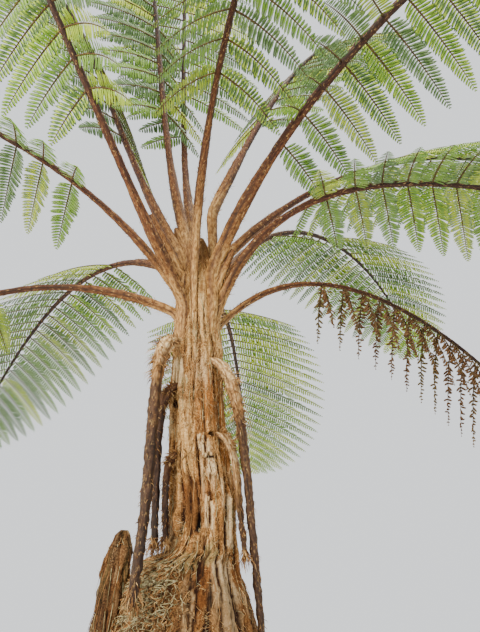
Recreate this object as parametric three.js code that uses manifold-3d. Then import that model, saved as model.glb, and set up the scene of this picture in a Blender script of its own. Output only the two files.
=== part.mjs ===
// A tree fern: a fibrous trunk, a crown of arching fronds, the dead stalks that hang under it, and an
// old stump beside its foot. Millimetres, +Z up. The origin is the middle of the flat cut at ground level.
import * as THREE from 'three';
import { mergeVertices } from 'three/addons/utils/BufferGeometryUtils.js';
import Module from 'manifold-3d';

// The crown's heights are measured from this level, where the neck is narrowest.
const neckHeight = 2670;
// Solids that meet keep this much air between them.
const gap = 0.3;

function tableOf(columns, rows) {
  return rows.map((row) => Object.fromEntries(columns.map((name, i) => [name, row[i]])));
}

// Trunk from the ground to the tip of its core. Each row is a height, the mean radius there, and how far
// the trunk's middle has swung to the right and to the back.
const trunk = {
  rows: [
    [0, 345, 0, 0], [120, 312, 0, 2], [350, 288, 2, 5], [800, 264, 5, 10], [1200, 246, 4, 12],
    [1370, 233, 3, 12], [1440, 214, 5, 11], [1500, 190, 8, 10], [1560, 168, 8, 9], [1600, 158, 12, 8],
    [1635, 128, 40, 6], [1700, 112, 46, 5], [1830, 118, 42, 2], [2050, 105, 20, 0], [2230, 101, 6, 0],
    [2430, 94, 8, 0], [2670, 92, 0, 0], [2780, 80, 0, 0], [2900, 56, 0, 0], [2980, 34, 0, 0],
    [3040, 10, 0, 0],
  ],
  sides: 22,
  ridges: 7,
  ridgeDepth: 0.055,
  flareRidges: 5,
  flareDepth: 0.1,
  flareHeight: 500,
  twist: 1.1,
};

// Hollows in the trunk's front, each an ellipsoid: angle round the trunk, height, and its three half sizes
// across, inward and upward.
const hollows = [
  { angle: 247, height: 1800, across: 34, inward: 40, up: 112 },
  { angle: 217, height: 2220, across: 12, inward: 24, up: 24 },
  { angle: 293, height: 2100, across: 11, inward: 20, up: 15 },
];

// The lobe of matted root that makes a shelf at the left of the trunk's front: its middle's angle, height
// and distance from the trunk's middle, and its three half sizes.
const shelf = { angle: 214, height: 1440, distance: 100, across: 125, inward: 92, up: 195 };

// Every frond leaves the neck at an angle round it (0 is to the right, 90 to the back), at a base height,
// with a first rise, and arches out to its reach and tip height, where it points along its slope, in degrees.
// aside is how far its foot stands to the right of its own plane, seen from the tip. size scales its
// leaflets, droop is how far they hang, bare is its stalk's length, and thick its radius.
// The stalk's swollen base is thicker, see blade.swollen.
const frondColumns = [
  'angle', 'aside', 'base', 'rise', 'reach', 'tip', 'slope', 'size', 'droop', 'bare', 'thick',
];
const frondRows = [
  [172, 0, -65, 27, 2480, -1320, -60, 0.95, 0.5, 880, 16],
  [197, 0, 0, 55, 2900, 350, -45, 1, 0.5, 660, 15],
  [226, 0, -40, 48, 2340, 1930, -30, 1, 0.9, 920, 19],
  [152, 0, 210, 59, 1750, 2630, -15, 1, 0.6, 850, 20],
  [134, 0, 300, 69, 1140, 3040, -10, 0.95, 0.6, 880, 20],
  [104, 0, 340, 52, 1090, 3050, -10, 0.95, 0.6, 880, 20],
  [279, -32, 260, 83, 2790, 410, -30, 1, 1.2, 700, 16],
  [45, 0, 470, 65, 2150, 2720, -15, 1, 0.6, 800, 20],
  [317, 0, 105, 62, 2810, 1010, -35, 1, 0.5, 600, 23],
  [342, 0, -100, 74, 2500, -470, -50, 0.95, 0.3, 740, 18],
  [20, 0, 170, 54, 2850, 1050, -40, 1, 0.5, 780, 19],
  [8, 0, -137, 53, 1880, -950, -70, 0.72, 2.6, 560, 12],
  [80, 0, -60, 36, 2400, -365, -40, 1.1, 0.3, 700, 17],
  [128, 0, 130, 37, 2550, -295, -45, 0.95, 0.5, 720, 18],
  [50, 0, 20, 60, 2600, 450, -50, 0.95, 0.5, 740, 18],
];
const fronds = tableOf(frondColumns, frondRows);

// Broken bases of older fronds stand between two of these stalks, as far up as the crown is closed.
const oldBases = [
  { between: [2, 3], length: 370 },
  { between: [3, 4], length: 160 },
  { between: [4, 6], length: 120 },
  { between: [8, 9], length: 230 },
];
const oldBase = { footRadius: 24, topRadius: 15, depth: 300 };

// What the fronds share.
const blade = {
  startDistance: 75,
  startPull: 1200,
  endPull: 850,
  smallPull: 0.05,
  ribDistance: 79,
  ribLength: 420,
  ribFootRadius: 17,
  swollen: 1.3,
  swollenLength: 550,
  swollenPower: 3,
  tipThickness: 4,
  thinning: 0.8,
  pairs: 12,
  firstPlace: 0.2,
  crowding: 0.72,
  longestLeaflet: 580,
  outlineFrom: 0.2,
  fullness: 0.75,
  widestAt: 0.3,
  leafletWidth: 165,
  widthOfSpacing: 0.86,
  leafletThickness: 7,
  stiffTip: 0.5,
  baseLean: 2,
  tipLean: 42,
  clearance: 26,
  shortenings: [1, 0.86, 0.72, 0.58, 0.44],
};

// A stub lasts until its midrib is clear of the others by this much air.
const stub = { shortest: 110, longest: 800, step: 10, air: 5 };

// Dead stalks that hang beside the trunk. Each leaves it at an angle and height, bends out over a knee
// and hangs to a tip at another angle, distance from the axis and height. taper is the share of its radius
// that it has lost there.
const deadColumns = [
  'angle', 'height', 'knee', 'tipAngle', 'tipDistance', 'tipHeight', 'thickness', 'taper',
];
const deadRows = [
  [208, 2455, 103, 230, 305, 1460, 24, 0.3],
  [212, 2265, 52, 198, 146, 1650, 18, 0.3],
  [208, 1990, 36, 209, 114, 1670, 14, 0.2],
  [293, 2365, 93, 344, 319, 900, 20, 0.6],
  [312, 2070, 51, 331, 226, 1620, 14, 0.5],
  [56, 2400, 110, 66, 330, 800, 17, 0.5],
  [86, 2330, 104, 88, 325, 950, 16, 0.5],
  [116, 2430, 110, 110, 330, 720, 18, 0.5],
];
const deadStalks = tableOf(deadColumns, deadRows);

// The hook that they share: how deep it roots, how its curve's handles lie and how its knee swells.
const hang = {
  rootShare: 0.6,
  liftOut: 1.9,
  liftUp: 0.5,
  dropShare: 0.35,
  stubLength: 90,
  swell: 0.35,
  swellAt: 0.13,
  swellWidth: 0.07,
  taperPower: 1.3,
};

// The stump beside the trunk's foot, a leaning lobe of matted fibre with a rounded top.
const stump = {
  distance: 380,
  angle: 183,
  topShift: 125,
  bendHeight: 600,
  height: 1715,
  footRadius: 120,
  topRadius: 46,
  taper: 0.7,
  roundedFrom: 0.955,
  roundedTo: 0.06,
};

// How finely each kind of limb is cut: faces round it and steps along it.
const cuts = {
  rib: { sides: 5, steps: 3 },
  stub: { sides: 6, steps: 3 },
  oldBase: { sides: 6, steps: 4 },
  stalk: { sides: 6, steps: 6 },
  midrib: { sides: 4, steps: 16 },
  hangStub: { sides: 6, steps: 2 },
  hang: { sides: 6, steps: 11 },
  stump: { sides: 12, steps: 14 },
};

const colours = {
  trunk: '#8f6f4e',
  stalk: '#7a4a30',
  blade: '#5f8f4c',
  deadStalk: '#5a4030',
  stump: '#6e5240',
};

const wasm = await Module();
wasm.setup();

function radians(degrees) {
  return THREE.MathUtils.degToRad(degrees);
}

function outward(degrees) {
  return new THREE.Vector3(Math.cos(radians(degrees)), Math.sin(radians(degrees)), 0);
}

function polar(degrees, distance, height) {
  return outward(degrees).multiplyScalar(distance).setZ(height);
}

// Corners closer than this are one corner.
const weld = 1e-3;

// Solids from closed three.js geometries, and back again.
function solid(geometry) {
  const bare = geometry.clone();
  bare.deleteAttribute('normal');
  bare.deleteAttribute('uv');
  const merged = mergeVertices(bare, weld);
  const mesh = new wasm.Mesh({
    numProp: 3,
    vertProperties: new Float32Array(merged.attributes.position.array),
    triVerts: new Uint32Array(merged.index.array),
  });
  return new wasm.Manifold(mesh);
}

function geometryOf(manifold) {
  const mesh = manifold.getMesh();
  const geometry = new THREE.BufferGeometry();
  geometry.setAttribute('position', new THREE.BufferAttribute(mesh.vertProperties, 3));
  geometry.setIndex(new THREE.BufferAttribute(mesh.triVerts, 1));
  geometry.computeVertexNormals();
  return geometry;
}

// Parts joined into one body. A hollow that the joining seals is filled.
function fused(parts) {
  const whole = parts.reduce((sum, part) => sum.add(part));
  return whole.decompose().filter((shell) => shell.volume() > 0).reduce((sum, shell) => sum.add(shell));
}

// A round limb that follows a curve from one share of its length to another and changes radius on the way.
// across stays level with the given side direction.
function limb(curve, from, to, radiusAt, side, cut) {
  const geometry = new THREE.CylinderGeometry(1, 1, 1, cut.sides, cut.steps);
  const position = geometry.attributes.position;
  for (let i = 0; i < position.count; i += 1) {
    const share = THREE.MathUtils.lerp(from, to, position.getY(i) + 0.5);
    const radius = radiusAt(share);
    const tangent = curve.getTangentAt(share);
    const across = side.clone().addScaledVector(tangent, -side.dot(tangent)).normalize();
    const over = across.clone().cross(tangent);
    const point = curve.getPointAt(share);
    point.addScaledVector(across, radius * position.getX(i));
    point.addScaledVector(over, radius * position.getZ(i));
    position.setXYZ(i, point.x, point.y, point.z);
  }
  return solid(geometry);
}

// The trunk's middle and mean radius at a height, read between the rows.
function trunkAt(height) {
  const above = Math.max(1, trunk.rows.findIndex((row) => row[0] >= height));
  const [low, high] = [trunk.rows[above - 1], trunk.rows[above]];
  const share = THREE.MathUtils.clamp((height - low[0]) / (high[0] - low[0]), 0, 1);
  const between = (column) => THREE.MathUtils.lerp(low[column], high[column], share);
  const [radius, right, back] = [1, 2, 3].map(between);
  return { radius, right, back };
}

function trunkRadius(turn, height) {
  const wave = trunk.ridgeDepth * Math.cos(trunk.ridges * turn + trunk.twist * height / 1000);
  const flare = trunk.flareDepth * Math.max(0, 1 - height / trunk.flareHeight);
  return trunkAt(height).radius * (1 + wave + flare * Math.cos(trunk.flareRidges * turn));
}

function trunkCore(grown) {
  const rows = trunk.rows.length - 1;
  const geometry = new THREE.CylinderGeometry(1, 1, rows, trunk.sides, rows);
  const position = geometry.attributes.position;
  for (let i = 0; i < position.count; i += 1) {
    const place = position.getY(i) + rows / 2;
    const below = Math.min(rows - 1, Math.floor(place));
    const height = THREE.MathUtils.lerp(trunk.rows[below][0], trunk.rows[below + 1][0], place - below);
    const turn = Math.atan2(-position.getZ(i), position.getX(i));
    const reach = Math.hypot(position.getX(i), position.getZ(i)) * (trunkRadius(turn, height) + grown);
    const middle = trunkAt(height);
    position.setXYZ(i, middle.right + reach * Math.cos(turn), middle.back + reach * Math.sin(turn), height);
  }
  return solid(geometry);
}

// An ellipsoid with its middle at a distance from the trunk's middle.
function ellipsoid({ angle, height, across, inward, up: tall }, distance) {
  const middle = trunkAt(height);
  const geometry = new THREE.SphereGeometry(1, 10, 8);
  geometry.rotateX(Math.PI / 2);
  geometry.scale(inward, across, tall);
  geometry.rotateZ(radians(angle));
  const place = polar(angle, distance, height);
  geometry.translate(place.x + middle.right, place.y + middle.back, height);
  return solid(geometry);
}

function hollow(values) {
  return ellipsoid(values, trunkRadius(radians(values.angle), values.height));
}

// A frond's midrib as one arch in the upright plane of its angle, but for a foot that may stand aside.
function archOf(frond) {
  const at = (distance, height) => polar(frond.angle, distance, neckHeight + height);
  const foot = at(blade.startDistance, frond.base).addScaledVector(outward(frond.angle + 90), frond.aside);
  const step = (pull, slope) => [pull * Math.cos(radians(slope)), pull * Math.sin(radians(slope))];
  const scale = Math.min(1, frond.size + blade.smallPull);
  const [outStep, upStep] = step(blade.startPull * scale, frond.rise);
  const [backStep, downStep] = step(blade.endPull * scale, frond.slope);
  return new THREE.CubicBezierCurve3(
    foot,
    at(blade.startDistance + outStep, frond.base + upStep),
    at(frond.reach - backStep, frond.tip - downStep),
    at(frond.reach, frond.tip),
  );
}

function midribRadius(frond, share) {
  const slender = blade.tipThickness + (frond.thick - blade.tipThickness) * (1 - share) ** blade.thinning;
  const past = Math.min(1, share * frond.arch.getLength() / blade.swollenLength);
  return THREE.MathUtils.lerp(frond.thick * blade.swollen, slender, past ** blade.swollenPower);
}

// Past this length along its arch a midrib stays clear of every other one. That is where its stub ends.
function stubLength(frond, others) {
  let last = stub.shortest;
  for (let along = 0; along < stub.longest; along += stub.step) {
    const here = frond.arch.getPointAt(along / frond.arch.getLength());
    for (const other of others) {
      const clear = blade.swollen * frond.thick + other.widest + stub.air;
      const near = other.points.some((point) => point.distanceTo(here) < clear);
      if (near) last = Math.max(last, along + 2 * stub.step);
    }
  }
  return last;
}

// The stub runs up the neck as a thick rib, bends out with the frond's first stretch and ends in a flat cut.
function stubOf(frond) {
  const length = frond.arch.getLength();
  const side = outward(frond.angle + 90);
  const along = (share) => frond.arch.getPointAt(share * frond.stub / length);
  const rib = new THREE.CatmullRomCurve3([frond.ribFoot, along(0), along(0.4), along(0.8)]);
  const ribRadius = (share) => THREE.MathUtils.lerp(blade.ribFootRadius, midribRadius(frond, 0), share);
  const stubRadius = (share) => midribRadius(frond, share);
  return [
    limb(rib, 0, 1, ribRadius, side, cuts.rib),
    limb(frond.arch, 0, frond.stub / length, stubRadius, side, cuts.stub),
  ];
}

function stalkOf(frond) {
  const length = frond.arch.getLength();
  const [from, to] = [(frond.stub + gap) / length, frond.bare / length];
  const radius = (share) => midribRadius(frond, share);
  return limb(frond.arch, from, to, radius, outward(frond.angle + 90), cuts.stalk);
}

// An old base rises from inside the trunk, runs midway between its two stalks and ends in a flat cut.
function oldBaseCurve({ between, length }) {
  const arches = between.map((index) => fronds[index].arch);
  const points = [];
  for (let along = 0; along <= length; along += length / cuts.oldBase.steps) {
    const [one, other] = arches.map((arch) => arch.getPointAt(along / arch.getLength()));
    points.push(one.lerp(other, 0.5));
  }
  points.unshift(points[0].clone().setZ(points[0].z - oldBase.depth));
  return new THREE.CatmullRomCurve3(points);
}

// One leaflet as a flat strip: where it roots, its direction, length, and the direction of its width.
function leafletStrip(frond, pair, hand) {
  const length = frond.arch.getLength();
  const bladeLength = length - frond.bare;
  const place = (pair + blade.firstPlace) / blade.pairs;
  const along = frond.bare + bladeLength * place ** blade.crowding;
  const spacing = bladeLength * blade.crowding * place ** (blade.crowding - 1) / blade.pairs;
  const share = along / length;
  const tangent = frond.arch.getTangentAt(share);
  const side = outward(frond.angle + 90 * hand);
  const lean = radians(THREE.MathUtils.lerp(blade.baseLean, blade.tipLean, place));
  const droop = frond.droop * (1 - blade.stiffTip * place);
  const direction = side.clone().multiplyScalar(Math.cos(lean)).addScaledVector(tangent, Math.sin(lean));
  direction.setZ(direction.z - droop).normalize();
  const width = tangent.clone().addScaledVector(direction, -tangent.dot(direction)).normalize();
  const outline = Math.sin(Math.PI * THREE.MathUtils.lerp(blade.outlineFrom, 1, place)) ** blade.fullness;
  const widest = Math.min(blade.leafletWidth * frond.size, spacing * blade.widthOfSpacing);
  return {
    root: frond.arch.getPointAt(share),
    sunk: midribRadius(frond, share) / 2,
    direction,
    width,
    normal: direction.clone().cross(width),
    length: blade.longestLeaflet * frond.size * outline,
    halfWidth: widest * Math.sqrt(outline) / 2,
  };
}

// Half the strip's width at a share of its length: a kite, widest at a third.
function kiteHalf(strip, share) {
  const part = share < blade.widestAt ? share / blade.widestAt : (1 - share) / (1 - blade.widestAt);
  return strip.halfWidth * THREE.MathUtils.clamp(part, 0, 1);
}

function pointsOn(strip) {
  const points = [];
  const steps = 12;
  for (let step = 1; step <= steps; step += 1) {
    const share = step / steps;
    for (const across of [-1, 0, 1]) {
      const point = strip.root.clone().addScaledVector(strip.direction, share * strip.length);
      points.push(point.addScaledVector(strip.width, across * kiteHalf(strip, share)));
    }
  }
  return points;
}

function covers(strip, point, clearance) {
  const offset = point.clone().sub(strip.root);
  const along = offset.dot(strip.direction);
  if (along < -clearance || along > strip.length + clearance) return false;
  if (Math.abs(offset.dot(strip.normal)) > clearance) return false;
  return Math.abs(offset.dot(strip.width)) < kiteHalf(strip, along / strip.length) + clearance;
}

// Whether a leaflet comes too near another frond's leaflet or midrib.
function touches(strip, rivals, otherFronds) {
  const points = pointsOn(strip);
  return rivals.some((rival) => points.some((point) => covers(rival, point, blade.clearance)))
    || rivals.some((rival) => pointsOn(rival).some((point) => covers(strip, point, blade.clearance)))
    || otherFronds.some(({ points: midrib, thick }) => midrib.some(
      (point) => covers(strip, point, blade.clearance + thick),
    ));
}

// A leaflet that would touch another frond is made shorter, and left out if even the shortest would.
function growLeaflets() {
  const placed = [];
  for (const frond of fronds) {
    const otherFronds = fronds.filter((other) => other !== frond);
    for (let pair = 0; pair < blade.pairs; pair += 1) {
      for (const hand of [-1, 1]) {
        const full = leafletStrip(frond, pair, hand);
        const rivals = placed.filter((strip) => strip.frond !== frond
          && strip.root.distanceTo(full.root) < full.length + strip.length);
        const sizes = blade.shortenings.map((shorter) => ({ ...full, frond, length: full.length * shorter }));
        const fitting = sizes.find((strip) => !touches(strip, rivals, otherFronds));
        if (fitting) placed.push(fitting);
      }
    }
  }
  return placed;
}

// A leaflet's solid is an octahedron drawn out into a kite, thickest at its widest place.
function leafletOf(strip) {
  const geometry = new THREE.OctahedronGeometry(1);
  const position = geometry.attributes.position;
  for (let i = 0; i < position.count; i += 1) {
    const [x, y, z] = [position.getX(i), position.getY(i), position.getZ(i)];
    const share = blade.widestAt + (x > 0 ? x * (1 - blade.widestAt) : x * blade.widestAt);
    const along = x === -1 ? -strip.sunk : share * strip.length;
    const point = strip.root.clone().addScaledVector(strip.direction, along);
    point.addScaledVector(strip.width, y * strip.halfWidth);
    point.addScaledVector(strip.normal, z * blade.leafletThickness / 2);
    position.setXYZ(i, point.x, point.y, point.z);
  }
  return solid(geometry);
}

function bladeOf(frond, strips) {
  const from = (frond.bare + gap) / frond.arch.getLength();
  const radius = (share) => midribRadius(frond, share);
  const midrib = limb(frond.arch, from, 1, radius, outward(frond.angle + 90), cuts.midrib);
  return fused([midrib, ...strips.map(leafletOf)]);
}

// The curve of a dead stalk, from inside the trunk over its knee to its tip.
function hangOf(stalk) {
  const { radius, right, back } = trunkAt(stalk.height);
  const middle = new THREE.Vector3(right, back, 0);
  const root = polar(stalk.angle, radius * hang.rootShare, stalk.height).add(middle);
  const halfway = (stalk.angle + stalk.tipAngle) / 2;
  const liftHeight = stalk.height + stalk.knee * hang.liftUp;
  const lift = polar(halfway, radius + stalk.knee * hang.liftOut, liftHeight).add(middle);
  const fallHeight = THREE.MathUtils.lerp(stalk.height, stalk.tipHeight, hang.dropShare);
  const fall = polar(stalk.tipAngle, radius + stalk.knee, fallHeight).add(middle);
  const tip = polar(stalk.tipAngle, stalk.tipDistance, stalk.tipHeight);
  return new THREE.CubicBezierCurve3(root, lift, fall, tip);
}

function hangRadius(stalk, share) {
  const knee = 1 + hang.swell * Math.exp(-(((share - hang.swellAt) / hang.swellWidth) ** 2));
  return stalk.thickness * knee * (1 - stalk.taper * share ** hang.taperPower);
}

function stumpOf() {
  const foot = polar(stump.angle, stump.distance, 0);
  const bend = foot.clone().setZ(stump.bendHeight);
  const top = foot.clone().setZ(stump.height);
  top.x += stump.topShift;
  const radius = (share) => {
    const past = Math.max(0, share - stump.roundedFrom) / (1 - stump.roundedFrom);
    const rounding = Math.sqrt(Math.max(stump.roundedTo, 1 - past ** 2));
    return THREE.MathUtils.lerp(stump.footRadius, stump.topRadius, share ** stump.taper) * rounding;
  };
  const curve = new THREE.QuadraticBezierCurve3(foot, bend, top);
  return limb(curve, 0, 1, radius, new THREE.Vector3(1, 0, 0), cuts.stump);
}

function finish(colour, roughness) {
  return new THREE.MeshStandardMaterial({ color: colour, roughness, metalness: 0 });
}

function node(name, manifold, colour, roughness) {
  const mesh = new THREE.Mesh(geometryOf(manifold), finish(colour, roughness));
  mesh.name = name;
  return mesh;
}

const part = new THREE.Group();

for (const frond of fronds) {
  frond.arch = archOf(frond);
  frond.ribFoot = polar(frond.angle, blade.ribDistance, neckHeight + frond.base - blade.ribLength);
  const rib = new THREE.LineCurve3(frond.ribFoot, frond.arch.getPointAt(0));
  frond.points = [...rib.getSpacedPoints(20), ...frond.arch.getSpacedPoints(60)];
  frond.widest = blade.swollen * frond.thick;
}
const bases = oldBases.map((base) => {
  const curve = oldBaseCurve(base);
  return { curve, points: curve.getSpacedPoints(20), widest: oldBase.footRadius };
});
for (const frond of fronds) {
  frond.stub = stubLength(frond, [...fronds.filter((other) => other !== frond), ...bases]);
}

const hangs = deadStalks.map((stalk) => {
  const curve = hangOf(stalk);
  return { stalk, curve, side: outward(stalk.angle + 90), cut: hang.stubLength / curve.getLength() };
});
const hangPiece = ({ stalk, curve, side }, from, to, cut) => limb(
  curve, from, to, (share) => hangRadius(stalk, share), side, cut,
);

const stubs = fronds.flatMap(stubOf);
const baseRadius = (share) => THREE.MathUtils.lerp(oldBase.footRadius, oldBase.topRadius, share);
const baseStubs = bases.map(({ curve }) => limb(curve, 0, 1, baseRadius, outward(0), cuts.oldBase));
const hangStubs = hangs.map((one) => hangPiece(one, 0, one.cut, cuts.hangStub));
const lobe = ellipsoid(shelf, shelf.distance);
const wholeTrunk = fused([trunkCore(0), lobe, ...stubs, ...baseStubs, ...hangStubs]);
const hollowed = hollows.map(hollow).reduce((left, cavity) => left.subtract(cavity), wholeTrunk);
part.add(node('trunk', hollowed, colours.trunk, 0.9));
part.add(node('side_stump', stumpOf().subtract(trunkCore(gap)), colours.stump, 0.95));

hangs.forEach((one, index) => {
  const from = one.cut + gap / one.curve.getLength();
  const hanging = hangPiece(one, from, 1, cuts.hang);
  part.add(node(`dead_stalk_${index + 1}`, hanging, colours.deadStalk, 0.9));
});

const strips = growLeaflets();
fronds.forEach((frond, index) => {
  const name = `frond_${String(index + 1).padStart(2, '0')}`;
  const own = strips.filter((strip) => strip.frond === frond);
  part.add(node(`${name}_stalk`, stalkOf(frond), colours.stalk, 0.8));
  part.add(node(`${name}_blade`, bladeOf(frond, own), colours.blade, 0.7));
});

export default part;
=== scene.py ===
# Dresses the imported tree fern: trunk, stump, stalks, fronds and fibres, in metres, on the CAD frame.
import math

import bmesh
import bpy
import numpy as np
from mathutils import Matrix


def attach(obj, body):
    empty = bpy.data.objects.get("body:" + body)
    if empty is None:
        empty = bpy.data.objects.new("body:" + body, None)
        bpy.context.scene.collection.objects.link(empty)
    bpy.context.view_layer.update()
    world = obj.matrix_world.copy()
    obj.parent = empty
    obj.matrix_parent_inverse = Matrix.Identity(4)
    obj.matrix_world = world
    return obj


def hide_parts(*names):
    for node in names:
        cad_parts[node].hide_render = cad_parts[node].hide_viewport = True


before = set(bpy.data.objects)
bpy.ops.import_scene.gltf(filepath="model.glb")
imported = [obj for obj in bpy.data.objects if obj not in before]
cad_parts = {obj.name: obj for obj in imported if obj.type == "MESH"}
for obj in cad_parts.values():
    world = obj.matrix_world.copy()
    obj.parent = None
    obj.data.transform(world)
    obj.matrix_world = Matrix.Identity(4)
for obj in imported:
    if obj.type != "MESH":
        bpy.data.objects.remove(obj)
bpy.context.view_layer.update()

rng = np.random.default_rng(7)        # all that is dealt out at random comes from here, in one order
neckHeight = 2.67


# Small helpers for directions and smooth steps.
def outward(degrees):
    turn = np.radians(degrees)
    return np.stack([np.cos(turn), np.sin(turn), np.zeros_like(turn)], -1)


def polar(degrees, distance, height):
    return outward(degrees) * distance + np.array([0.0, 0.0, height])


def unit(vectors):
    vectors = np.asarray(vectors, float)
    return vectors / np.maximum(np.linalg.norm(vectors, axis=-1, keepdims=True), 1e-12)


def smooth(low, high, value):
    share = np.clip((value - low) / (high - low), 0, 1)
    return share * share * (3 - 2 * share)


def turnBetween(angle, middle):
    return (angle - middle + 180) % 360 - 180


# Smooth lattice noise between -1 and 1 that closes round a trunk: u and v run from 0 to 1.
def lattice(u, v, cellsU, cellsV, seed):
    grid = np.random.default_rng(seed).uniform(-1, 1, (cellsV + 2, cellsU))
    x = np.mod(u, 1) * cellsU
    y = np.clip(v, 0, 1) * cellsV
    left, low = np.floor(x).astype(int), np.floor(y).astype(int)
    fx, fy = x - left, y - low
    fx, fy = fx * fx * (3 - 2 * fx), fy * fy * (3 - 2 * fy)
    left, right = left % cellsU, (left + 1) % cellsU
    bottom = grid[low, left] * (1 - fx) + grid[low, right] * fx
    top = grid[low + 1, left] * (1 - fx) + grid[low + 1, right] * fx
    return bottom * (1 - fy) + top * fy


# Colours are sRGB hex values.
def colour(hexValue):
    channels = [int(hexValue[i:i + 2], 16) / 255 for i in (1, 3, 5)]
    linear = [c / 12.92 if c <= 0.04045 else ((c + 0.055) / 1.055) ** 2.4 for c in channels]
    return (*linear, 1.0)


def addNode(tree, kind, inputs=None, stops=None, **settings):
    node = tree.nodes.new(kind)
    for key, value in settings.items():
        setattr(node, key, value)
    for key, value in (inputs or {}).items():
        if isinstance(value, bpy.types.NodeSocket):
            tree.links.new(value, node.inputs[key])
        else:
            node.inputs[key].default_value = value
    if stops:
        ramp = node.color_ramp
        while len(ramp.elements) < len(stops):
            ramp.elements.new(0.5)
        for element, (place, hexValue) in zip(ramp.elements, stops):
            element.position = place
            element.color = colour(hexValue)
    return node


def newMaterial(name):
    material = bpy.data.materials.new(name)
    material.use_nodes = True
    material.node_tree.nodes.clear()
    return material, material.node_tree


def finishMaterial(tree, inputs):
    shader = addNode(tree, "ShaderNodeBsdfPrincipled", inputs)
    addNode(tree, "ShaderNodeOutputMaterial", {"Surface": shader.outputs[0]})


def linkObject(name, mesh, materials):
    for material in materials:
        mesh.materials.append(material)
    piece = bpy.data.objects.new(name, mesh)
    bpy.context.scene.collection.objects.link(piece)
    return piece


# A new mesh object from arrays of points and triangles.
def objectFromArrays(name, points, faces, materials, materialIndex=None):
    mesh = bpy.data.meshes.new(name)
    mesh.vertices.add(len(points))
    mesh.vertices.foreach_set("co", np.ascontiguousarray(points, np.float32).ravel())
    mesh.loops.add(faces.size)
    mesh.loops.foreach_set("vertex_index", np.ascontiguousarray(faces, np.int32).ravel())
    mesh.polygons.add(len(faces))
    mesh.polygons.foreach_set("loop_start", np.arange(0, faces.size, 3, dtype=np.int32))
    piece = linkObject(name, mesh, materials)
    if materialIndex is not None:
        mesh.polygons.foreach_set("material_index", np.ascontiguousarray(materialIndex, np.int32))
    mesh.update(calc_edges=True)
    mesh.polygons.foreach_set("use_smooth", np.full(len(faces), True))
    return piece


def dress(piece, slotName, *nodes):
    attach(piece, "root")
    if nodes:
        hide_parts(*nodes)


# A closed skin wrapped from a grid. place(u, v) gives points for u round it and v along it, and
# attributes(u, v) the named values that its material reads there.
def wrapSkin(name, around, along, place, materials, attributes):
    grid = bmesh.new()
    bmesh.ops.create_grid(grid, x_segments=around, y_segments=along, size=1)
    spots = np.array([vert.co[:2] for vert in grid.verts]) / 2 + 0.5
    points = place(spots[:, 0], spots[:, 1])
    for key, values in attributes(spots[:, 0], spots[:, 1]).items():
        layer = grid.verts.layers.float.new(key)
        for vert, value in zip(grid.verts, values):
            vert[layer] = value
    for vert, point in zip(grid.verts, points):
        vert.co = point
    bmesh.ops.remove_doubles(grid, verts=grid.verts, dist=1e-6)
    rims = [edge for edge in grid.edges if edge.is_boundary]
    bmesh.ops.holes_fill(grid, edges=rims, sides=0)
    bmesh.ops.recalc_face_normals(grid, faces=grid.faces)
    mesh = bpy.data.meshes.new(name)
    grid.to_mesh(mesh)
    grid.free()
    mesh.polygons.foreach_set("use_smooth", np.full(len(mesh.polygons), True))
    return linkObject(name, mesh, materials)


# Many thin tapered strands in one mesh, with three sides each. paths is strands x rings x 3, and thickness
# strands x rings.
def strandsObject(name, paths, thickness, materials, materialOf=None):
    sides = 3
    count, rings = paths.shape[:2]
    tangent = unit(np.gradient(paths, axis=1))
    # a direction that never runs along the strand
    helper = np.where(np.abs(tangent[..., 2:3]) > 0.9, [1.0, 0.0, 0.0], [0.0, 0.0, 1.0])
    across = unit(np.cross(tangent, helper))
    over = np.cross(across, tangent)
    turn = np.arange(sides) * 2 * math.pi / sides
    ring = (across[:, :, None] * np.cos(turn)[:, None] + over[:, :, None] * np.sin(turn)[:, None])
    points = paths[:, :, None] + ring * thickness[:, :, None, None]
    low = (np.arange(rings - 1)[:, None] * sides + np.arange(sides)).ravel()
    nextSide = (np.arange(rings - 1)[:, None] * sides + (np.arange(sides) + 1) % sides).ravel()
    quads = np.stack([low, low + sides, nextSide + sides, nextSide], 1)
    faces = np.concatenate([quads[:, [0, 1, 2]], quads[:, [0, 2, 3]]])
    tip = (rings - 1) * sides
    faces = np.concatenate([faces, [[0, 1, 2], [tip, tip + 2, tip + 1]]])
    allFaces = (faces[None] + (np.arange(count) * rings * sides)[:, None, None]).reshape(-1, 3)
    index = None if materialOf is None else np.repeat(materialOf, len(faces))
    return objectFromArrays(name, points.reshape(-1, 3), allFaces, materials, index)


print("materials")
multiply = dict(data_type="RGBA", blend_type="MULTIPLY")        # a mix that darkens by a second colour


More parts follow.
